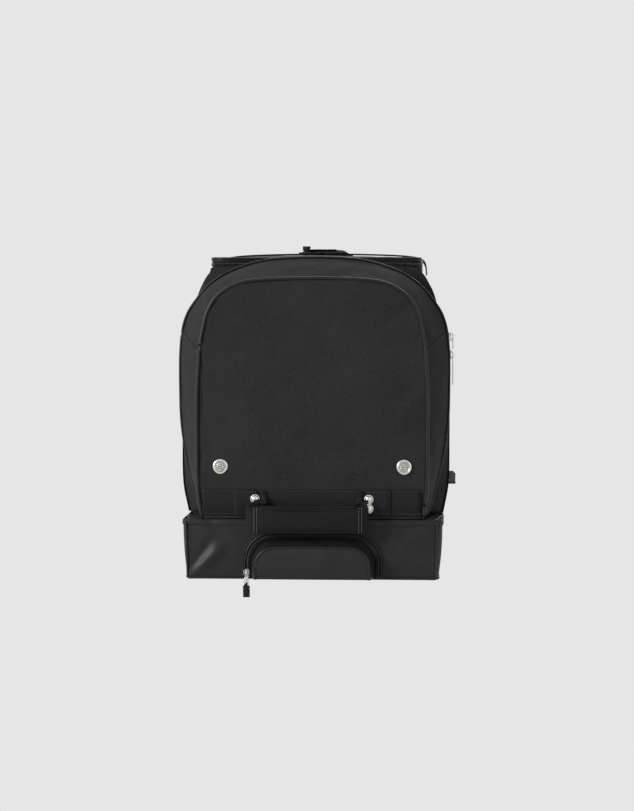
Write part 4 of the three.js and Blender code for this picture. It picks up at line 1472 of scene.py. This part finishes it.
def mouth_line(grow, height, radius=15, count=150, around=False):
    """A line round the mouth from the right end of the hinge to its left end."""
    half, low = lid_half + grow, lid_front - grow * mm + 0.8 * mm
    points = [at(half, lid_rear, height), at(half, low + radius * mm, height)]
    corner_points = []
    for k in range(7):
        a = math.radians(15 * k)
        corner_points.append(at(half - radius + radius * math.cos(a), low + radius * mm
                                - radius * mm * math.sin(a), height))
    line = even([points[0], *corner_points], count // 2)
    line += [Vector((-p.x, p.y, p.z)) for p in line[::-1]]
    line = even(line, count)
    if around:
        line += even([at(-half, lid_rear, height), at(half, lid_rear, height)], 40)[1:-1]
    return line


frame_rows = [
    mouth_line(0.2 - 1.2 * k, rim_height + 1.6 + 0.5 * k, 15 - k, around=True) for k in range(8)
]
mouth_frame = sheet_between("mouth_frame_cloth", frame_rows, pack_cloth, 1.8, closed=True,
                            inside=at(0, 0, 300))
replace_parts(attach(mouth_frame, "bag"), "top_frame")
for word, height, body, side in (("frame", rim_height + 3.6, "bag", 1),
                                 ("lid", rim_height + 8.6, "lid", -1)):
    tape(f"lid_tape_{word}", mouth_line(0.3, height), 4.6, around_z, body, 0.9)
    teeth(f"lid_teeth_{word}", mouth_line(0.8, rim_height + 6.1), around_z, body, side)
    welt = cord(f"lid_welt_{word}", mouth_line(0.9, height + (3.4 if word == "lid" else -3.2)), 1.5,
                piping_cloth)
    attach(welt, body)


def lid_height(x, y):
    """The top of the lid: full over the middle, low at its edges."""
    across = max(0.0, 1 - abs(x / (lid_half * mm)) ** 3)
    along = max(0.0, 1 - abs((y - (lid_front + lid_rear) / 2) / ((lid_rear - lid_front) / 2)) ** 8)
    return rim_height + 14.2 + 7.4 * (across * along) ** 0.7


lid_middle = Vector((0, (lid_front + lid_rear) / 2, 0))
rows = []
for s in finer([1, 0.99, 0.97, 0.93, 0.86, 0.76, 0.64, 0.5, 0.36, 0.2, 0.02]):
    ring = []
    for p in mouth_line(0.4, 0, around=True):
        x, y = p.x * s, lid_middle.y + (p.y - lid_middle.y) * s
        q = Vector((x, y, base + lid_height(x, y) * mm))
        sag = min(1.0, (1 - s) * 12)
        q.z += (uneven(q, 0.14, 2.0, 13) - 1.2 * mm) * sag + uneven(q, 0.04, 0.35) * sag
        ring.append(q)
    rows.append(ring)
lid_cloth = sheet_between("lid_top_cloth", rows, pack_cloth, 2.4, closed=True, rounds=0,
                          inside=at(0, 0.05, 300), flat=lambda p: (p.x, p.y))
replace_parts(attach(lid_cloth, "lid"), "lid_panel")
rows = [mouth_line(0.2 + 0.7 * math.sin(math.pi * k / 4), rim_height + 11.4 + 0.9 * k, around=True)
        for k in range(5)]
border = sheet_between("lid_border_cloth", rows, pack_cloth, 1.8, closed=True,
                       inside=at(0, 0.05, 455))
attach(border, "lid")
edge_cord = cord("lid_piping", mouth_line(0.8, rim_height + 14.8, around=True), 1.9, piping_cloth,
                 closed=True)
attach(edge_cord, "lid")
hinge_line = [at(x, lid_rear + 0.6 * mm, rim_height + 11.5) for x in range(-150, 151, 10)]
tape("lid_hinge_binding", hinge_line, 8, Vector((0, 1, 0)), "lid", 1.0, pack_cloth)
print("lid", [round(v, 3) for v in lid_cloth.dimensions])

# %% [markdown]
# ## Webbing on the sides and carry straps
# One length of webbing runs under the bag's load on each side: sewn flat to the wall as a U, then
# free from the shoulder up, over the lid, and round in a loop. The two loops meet over the middle,
# where a padded wrap joins them to one grip.

# %% Side webbing and carry straps
web = 38.0
strap_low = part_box("carry_strap_right")[0][2]
strap_top = (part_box("strap_wrap")[0][2] - base) / mm + 3.0


def sewn_point(side, k, y):
    p = wall_side(side, wall_profile[k], y)
    return p + Vector((side * 1.0 * mm, 0, 0))


def stitch_box(name, corners, out, body, lift=1.2):
    ring = [*corners, corners[0], corners[2]]
    paths = [even([a, b], 6) for a, b in zip(ring, ring[1:])] + [even([corners[1], corners[3]], 6)]
    return stitches(name, paths, out, body, lift=lift, pitch=3.6)


for side, word in ((1, "right"), (-1, "left")):
    parts = []
    for k, y in enumerate((-strap_y, strap_y)):
        rise = [sewn_point(side, i, y) for i in range(0, 32)]
        rise = [p for p in rise if p.z < strap_low - 1 * mm]
        leg = tape(f"side_webbing_{word}_{k + 1}", rise, web, around_y, "bag", 1.8, webbing)
        parts.append(leg)
        for edge_y, edge_word in ((-web / 2 + 3, "a"), (web / 2 - 3, "b")):
            stitches(f"side_webbing_stitches_{word}_{k + 1}{edge_word}",
                     [[p + Vector((0, edge_y * mm, 0)) for p in rise]], around_y, "bag",
                     lift=1.9, pitch=4.2)
        top = [p for p in rise if p.z > strap_low - 34 * mm]
        corners = [top[0] + Vector((side * 0.0008, -0.013, 0)),
                   top[0] + Vector((side * 0.0008, 0.013, 0)),
                   top[-1] + Vector((side * 0.0008, 0.013, 0)),
                   top[-1] + Vector((side * 0.0008, -0.013, 0))]
        stitch_box(f"side_box_{word}_{k + 1}", corners, around_y, "bag", 2.2)
    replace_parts(parts[0], f"side_webbing_{word}")
    run = [wall_side(side, wall_profile[2], -strap_y + 2 * strap_y * j / 30)
           + Vector((side * 1.2 * mm, 0, 0))
           for j in range(31)]
    tape(f"side_webbing_foot_{word}", run, web, around_y, "bag", 1.8, webbing)


def on_strap(made, side, word):
    """The piece goes with a carry strap and moves with it as one piece."""
    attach(made, f"carry_strap_{word}")
    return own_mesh(made, "lid_hinge", (side, 0, 0), (side * 0.164, 0, 0), 0.04)


def strap_out(p, ahead):
    off = ahead.cross(Vector((0, 1, 0)))
    return off if off.dot(p - Vector((0, p.y, p.z - 0.12))) > 0 else -off


for side, word in ((1, "right"), (-1, "left")):
    legs = []
    for k, y in enumerate((-strap_y, strap_y)):
        spots = [(161.4, strap_top - 30), (160.6, strap_top - 20), (158.6, strap_top - 12),
                 (153, strap_top - 7.4), (142, strap_top - 4.6), (120, strap_top - 2.4),
                 (80, strap_top - 0.8), (40, strap_top), (18, strap_top), (3, strap_top)]
        leg = [at(side * x, y, h) for x, h in spots]
        made = sweep(f"carry_strap_{word}_leg_{k + 1}", flow(leg, 36), strip_section(web, 1.9),
                     webbing,
                     strap_out)
        legs.append(on_strap(made, side, word))
        corners = [at(side * x, y + dy * mm, strap_top + 3.4) for x, dy in
                   ((5, -15), (33, -15), (33, 15), (5, 15))]
        ring = [*corners, corners[0], corners[2]]
        paths = [even([a, b], 6) for a, b in zip(ring, ring[1:])] + [
            even([corners[1], corners[3]], 6)
        ]
        spots = [s for path in paths for s in spots_along(path, (0, 0, 1), 3.6, 0.4)]
        on_strap(scatter(f"strap_box_{word}_{k + 1}", spots, stitch_grain, thread), side, word)
    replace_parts(legs[0], f"carry_strap_{word}")
    run = [at(side * 19.5, y, strap_top + 1.9)
           for y in (-0.131, -0.09, -0.045, 0, 0.045, 0.09, 0.131)]
    made = sweep(f"carry_strap_{word}_run", flow(run, 24), strip_section(web, 1.9), webbing)
    on_strap(made, side, word)

wrap_low, wrap_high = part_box("strap_wrap")
wrap = block_form("strap_wrap_pad", wrap_low + Vector((0.002, 0.002, 0.0012)),
                  wrap_high - Vector((0.002, 0.002, 0.003)), sleeve_cloth, 4.0)
puff(wrap, 3.4, 2.6, 5.0)
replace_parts(on_strap(wrap, 1, "right"), "strap_wrap")
top_z = wrap_high.z - 1.2 * mm
flap_rows = [[Vector((x, y, top_z + (1.6 - 0.00016 * (x / mm) ** 2) * mm)) for x in
              [(-38 + 56 * j / 14) * mm for j in range(15)]]
              for y in [(-58 + 116 * i / 20) * mm for i in range(21)]]
flap = sheet_between("strap_wrap_flap", flap_rows, sleeve_cloth, 1.4, inside=Vector((0, 0, 0.3)))
on_strap(flap, 1, "right")
tab = sweep("strap_wrap_tab",
            flow([Vector((-0.03, -0.0625, top_z - 0.004)), Vector((-0.03, -0.0632, top_z + 0.002)),
                  Vector((-0.03, -0.060, top_z + 0.005)), Vector((-0.03, -0.050, top_z + 0.003))],
                  12),
            strip_section(12, 1.2), webbing)
on_strap(tab, 1, "right")
print("strap wrap", [round(v, 3) for v in wrap.dimensions])

# %% [markdown]
# ## Sliders and pulls
# A zip slider is two plates with a wedge between them, and a bail on top that holds the pull. The
# pull swings on the bail. Each is drawn once, and placed by a matrix whose X is across the zip, Y
# along it, and Z out of the cloth.

# %% Zip sliders and pulls
slider_outline = [(-2.6, -7), (2.6, -7), (3.6, -4.5), (4.5, 0.5), (4.5, 5.0), (2.2, 7), (0, 6.2),
                  (-2.2, 7), (-4.5, 5.0), (-4.5, 0.5), (-3.6, -4.5)]


def slider_piece(name, place, size=1.0):
    shape = [(x * size, y * size) for x, y in slider_outline]
    low = plate(name, [shape], 1.3, place, nickel, 0.35)
    high = plate(name + "_top", [shape], 1.2, place @ Matrix.Translation((0, 0, 2.4 * mm)), nickel,
                 0.35)
    neck = plate(name + "_neck", [rounded(2.4 * size, 3.4 * size, 0.6, 0, 3.4 * size)], 2.0,
                 place @ Matrix.Translation((0, 0, 0.9 * mm)), nickel, 0.1)
    arc = [place @ (Vector((0, y, z)) * mm * 1.0) for y, z in
           ((-4.2, 3.2), (-4.0, 5.2), (-2.4, 6.4), (0, 6.8), (2.4, 6.4), (4.0, 5.2), (4.2, 3.2))]
    bail = sweep(name + "_bail", flow(arc, 14), [(1.3 * math.cos(a), 0.6 * math.sin(a)) for a in
                 (2 * math.pi * k / 8 for k in range(8))], nickel,
                 place.to_3x3() @ Vector((1, 0, 0)))
    return gather(name, [low, high, neck, bail])


def pull_piece(name, place, long, wide=8.0):
    """A pull that hangs towards -Y from its eye at the place's origin."""
    body = rounded(wide, long - 6, 1.6, 0, -(long - 6) / 2 - 5.5)
    neck = rounded(wide * 0.62, 9, 1.4, 0, -3.2)
    slot = rounded(wide * 0.42, min(9.0, long * 0.3), 1.2, 0, -long + 7)
    eye = rounded(wide * 0.34, 3.6, 0.7, 0, -2.6)
    spine = rounded(wide * 0.5, max(3.0, long - 24), 1.0, 0, -(long - 6) / 2 - 3.0)
    a = plate(name, [body, slot], 1.5, place @ Matrix.Translation((0, 0, -0.75 * mm)), nickel, 0.4)
    b = plate(name + "_neck", [neck, eye], 1.2, place @ Matrix.Translation((0, 0, -0.6 * mm)),
              nickel, 0.3)
    c = plate(name + "_spine", [spine], 0.8, place @ Matrix.Translation((0, 0, 0.4 * mm)), nickel,
              0.3)
    return gather(name, [a, b, c])


for word, height, long in (("lower", 319, 44), ("upper", 345, 18)):
    spot = at(194.4, zip_y, height)
    hard(slider_piece(f"arch_slider_{word}_metal", facing(spot, (1, 0, 0)), 0.95),
         f"arch_zip_{word}",
         "nickel", f"arch_slider_{word}")
    hang = at(200.6, zip_y, height)
    hard(pull_piece(f"arch_pull_{word}_metal", facing(hang, (1, 0, 0)), long), f"arch_tab_{word}",
         "nickel", f"arch_pull_{word}")
for word, y in (("front", 0.176), ("rear", 0.193)):
    spot = at(-153.4, y, rim_height + 7)
    place = facing(spot, (-1, 0, 0), (0, 1 if word == "front" else -1, 0))
    hard(slider_piece(f"lid_slider_{word}_metal", place, 0.95), f"lid_zip_{word}", "nickel",
         f"lid_slider_{word}")
    low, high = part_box(f"lid_pull_{word}")
    hang = Vector((high.x - 1 * mm, y, high.z + 3.2 * mm))
    down = Vector((low.x + 0.8 * mm, y, low.z)) - hang
    place = facing(hang,
                   down.cross(Vector((0, 1, 0))) * -1 if down.x > 0
                   else down.cross(Vector((0, 1, 0))),
                   -down)
    hard(pull_piece(f"lid_pull_{word}_metal", place, 30), f"lid_tab_{word}", "nickel",
         f"lid_pull_{word}")
spot = at(-93.4, front - 0.4 * mm, 8)
hard(slider_piece("pocket_slider_metal", facing(spot, forward_out), 0.95), "pocket_zip", "nickel",
     "pocket_slider")
hang = spot + Vector((0, -6.2 * mm, 0))
hard(pull_piece("pocket_pull_metal", facing(hang, forward_out), 22, 7), "pocket_tab", "nickel",
     "pocket_pull")
cloth_path = [hang + Vector((0, y * mm, z * mm)) for y, z in
              ((0.5, -18), (-0.9, -16.5), (-1.5, -19), (-1.5, -24), (-1.3, -29), (-1.1, -33.5))]
back_path = [p + Vector((0, 1.9 * mm, 0)) for p in cloth_path[2:]]
for k, path in enumerate((cloth_path, back_path)):
    tape(f"pocket_pull_cloth_{k + 1}", flow(path, 12), 9.6, forward_out, "pocket_tab", 1.3, webbing)
tab_box = [
    hang + Vector((x * mm, -2.6 * mm, z * mm))
    for x, z in ((-3, -21), (3, -21), (3, -31), (-3, -31))
]
stitch_box("pocket_pull_stitches", tab_box, forward_out, "pocket_tab", 0.4)
print("zips", 5)

# %% [markdown]
# ## Pull-out handle
# Two flat aluminium tubes lie under the floor, and two rods slide in them. A moulded grip joins
# the rods, with a release button in its face. Their CAD shapes are exact already, so they only
# need rounded edges, and the grip needs its ribs.

# %% Pull-out handle
for word in ("left", "right"):
    refined(f"trolley_tube_{word}", aluminium, 0.5)
    refined(f"trolley_rod_{word}", aluminium, 0.6)
refined("trolley_bezel", moulded, 0.7)
refined("trolley_button", moulded, 0.9)
refined("trolley_grip", moulded, 1.4)
grip_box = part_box("trolley_grip")
for side in (-1, 1):
    for k in range(5):
        x = side * (28 + 7 * k) * mm
        mid = (grip_box[0] + grip_box[1]) / 2
        ring = [Vector((x, mid.y + 9.2 * mm * math.cos(a), mid.z + 12.2 * mm * math.sin(a)))
                for a in (2 * math.pi * i / 24 for i in range(24))]
        ring = [Vector((p.x, max(min(p.y, mid.y + 8.4 * mm), mid.y - 8.9 * mm),
                        max(min(p.z, mid.z + 11.6 * mm), mid.z - 11.6 * mm))) for p in ring]
        rib = cord(f"grip_rib_{'left' if side < 0 else 'right'}_{k + 1}", ring, 0.8, moulded,
                   closed=True)
        hard(rib, "trolley", "black_plastic")

# %% [markdown]
# ## Wheels, runners and base
# The bag rolls on two inline-skate style wheels at the far end, each a soft tyre on a spoked hub,
# in a moulded housing. At the near end it stands on two moulded runners. Tread grooves and the
# open hub come from the turned profile and from a plate with holes.

# %% Wheels
tyre_profile = [(29.4, -10), (33, -11.8), (35.6, -11.4), (37.4, -9.2), (37.6, -6.4), (36.6, -6.0),
                (36.6, -5.2), (38, -4.6), (38, -0.9), (37, -0.6), (37, 0.6), (38, 0.9), (38, 4.6),
                (36.6, 5.2), (36.6, 6.0), (37.6, 6.4), (37.4, 9.2), (35.6, 11.4), (33, 11.8),
                (29.4, 10)]
rim_profile = [(24.5, -7), (28.9, -7.4), (28.9, 7.4), (24.5, 7), (25.5, 3), (25.5, -3)]
core_profile = [(4.3, -11), (9.2, -11), (10, -10), (10.6, -6.5), (10.6, 6.5), (10, 10), (9.2, 11),
                (4.3, 11)]


def spoke_hole(k, count=6):
    a0, a1 = 2 * math.pi * (k + 0.14) / count, 2 * math.pi * (k + 0.86) / count
    points = [(23.4 * math.cos(a0 + (a1 - a0) * i / 6),
               23.4 * math.sin(a0 + (a1 - a0) * i / 6)) for i in range(7)]
    points += [(12 * math.cos(a1 - 0.12 + (a0 + 0.24 - a1) * i / 4),
                12 * math.sin(a1 - 0.12 + (a0 + 0.24 - a1) * i / 4))
               for i in range(5)]
    return points


for side, word in ((1, "right"), (-1, "left")):
    low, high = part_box(f"wheel_tyre_{word}")
    middle = (low + high) / 2
    place = facing(middle, (side, 0, 0))
    hard(turned(f"wheel_tyre_{word}_rubber", tyre_profile, place, tyre_rubber, 64),
         f"wheel_{word}", "wheel_rubber", f"wheel_tyre_{word}")
    rim = turned(f"wheel_rim_{word}", rim_profile, place, moulded, 56)
    core = turned(f"wheel_core_{word}", core_profile, place, moulded, 32)
    web_plate = plate(f"wheel_spokes_{word}", [circle(25.4, sides=56), circle(9.6, sides=24),
                      *(spoke_hole(k) for k in range(6))], 7,
                      place @ Matrix.Translation((0, 0, -3.5 * mm)),
                      moulded, 0.8)
    hard(gather(f"wheel_hub_{word}_moulded", [web_plate, rim, core]), f"wheel_{word}",
         "black_plastic",
         f"wheel_hub_{word}")
    refined(f"wheel_housing_{word}", moulded, 1.6)
    refined(f"axle_{word}", nickel, 0.5)
    head = facing(middle + Vector((side * 19.2 * mm, 0, 0)), (side, 0, 0))
    hard(turned(f"axle_head_{word}",
                [(0, 0), (6.4, 0), (6.4, 0.6), (5.2, 1.9), (2.6, 2.2), (2.2, 1.2), (0, 1.2)],
                head, nickel, 24), "bag", "nickel")
    refined(f"runner_{word}", moulded, 2.0)
    run_low, run_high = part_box(f"runner_{word}")
    for k in range(9):
        y = run_low.y + 0.045 + k * 0.07
        rib = plate(f"runner_rib_{word}_{k + 1}", [rounded(3.0, 20, 1.2)], 1.6,
                    facing(Vector((
                        run_high.x - 0.4 * mm if side > 0 else run_low.x + 0.4 * mm, y, 0.0138)),
                           (side, 0, 0)), moulded, 0.5)
        hard(rib, "bag", "black_plastic")
print("wheels", round(middle.z, 3))

# %% [markdown]
# ## Base board and floor liner
# The bag stands on a stiff board. A loose liner of cloth lies on it and is never quite flat.

# %% Base board and liner
refined("base_board", board_plastic, 0.9)
liner_low, liner_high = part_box("floor_liner")
rows = [[Vector((liner_low.x + (liner_high.x - liner_low.x) * j / 20,
                 liner_low.y + (liner_high.y - liner_low.y) * i / 44, liner_high.z - 0.2 * mm))
         for j in range(21)] for i in range(45)]
for row in rows:
    for p in row:
        p.z += uneven(p, 0.1, 0.7, 15)
liner = sheet_between("floor_liner_cloth", rows, lining_cloth, 1.6, inside=Vector((0, 0, -1)))
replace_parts(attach(liner, "bag"), "floor_liner")

# %% [markdown]
# ## Floor and light
# A plain pale floor and background with even, soft light from the front left: dark cloth needs
# a broad source, or its folds vanish. The floor shines by itself as much as the background does,
# so that neither shows an edge.

# %% Floor, background and lamps
def glow(name, color, strength):
    made = bpy.data.materials.new(name)
    made.use_nodes = True
    shader = made.node_tree.nodes["Principled BSDF"]
    shader.inputs["Base Color"].default_value = (0, 0, 0, 1)
    shader.inputs["Specular IOR Level"].default_value = 0
    shader.inputs["Roughness"].default_value = 1
    shader.inputs["Emission Color"].default_value = (*color, 1)
    shader.inputs["Emission Strength"].default_value = strength
    return made


pale = 0.791
floor = sheet_between(
    "floor", [[Vector((x, y, 0)) for x in (-14, 0, 14)] for y in (-14, 0, 14)],
    glow("floor", (pale, pale, pale), 1.0), thick=0, rounds=0, inside=Vector((0, 0, -1)),
)
world = bpy.data.worlds.new("world")
bpy.context.scene.world = world
world.use_nodes = True
world.node_tree.nodes["Background"].inputs["Color"].default_value = (pale, pale, pale, 1)
world.node_tree.nodes["Background"].inputs["Strength"].default_value = 1.0
lit_spot = Vector((0, -0.2, 0.25))
for name, place, size, power in (
    ("key", (-2.4, -2.3, 1.3), 1.2, 120),
    ("fill", (2.4, -2.2, 1.0), 1.8, 10),
    ("back", (0.4, 2.6, 2.2), 2.0, 30),
):
    lamp_data = bpy.data.lights.new(name, "AREA")
    lamp_data.size = size
    lamp_data.energy = power
    lamp = bpy.data.objects.new(name, lamp_data)
    bpy.context.scene.collection.objects.link(lamp)
    lamp.location = place
    lamp.rotation_euler = (lit_spot - lamp.location).to_track_quat("-Z", "Y").to_euler()
bpy.context.scene.view_settings.view_transform = "Standard"
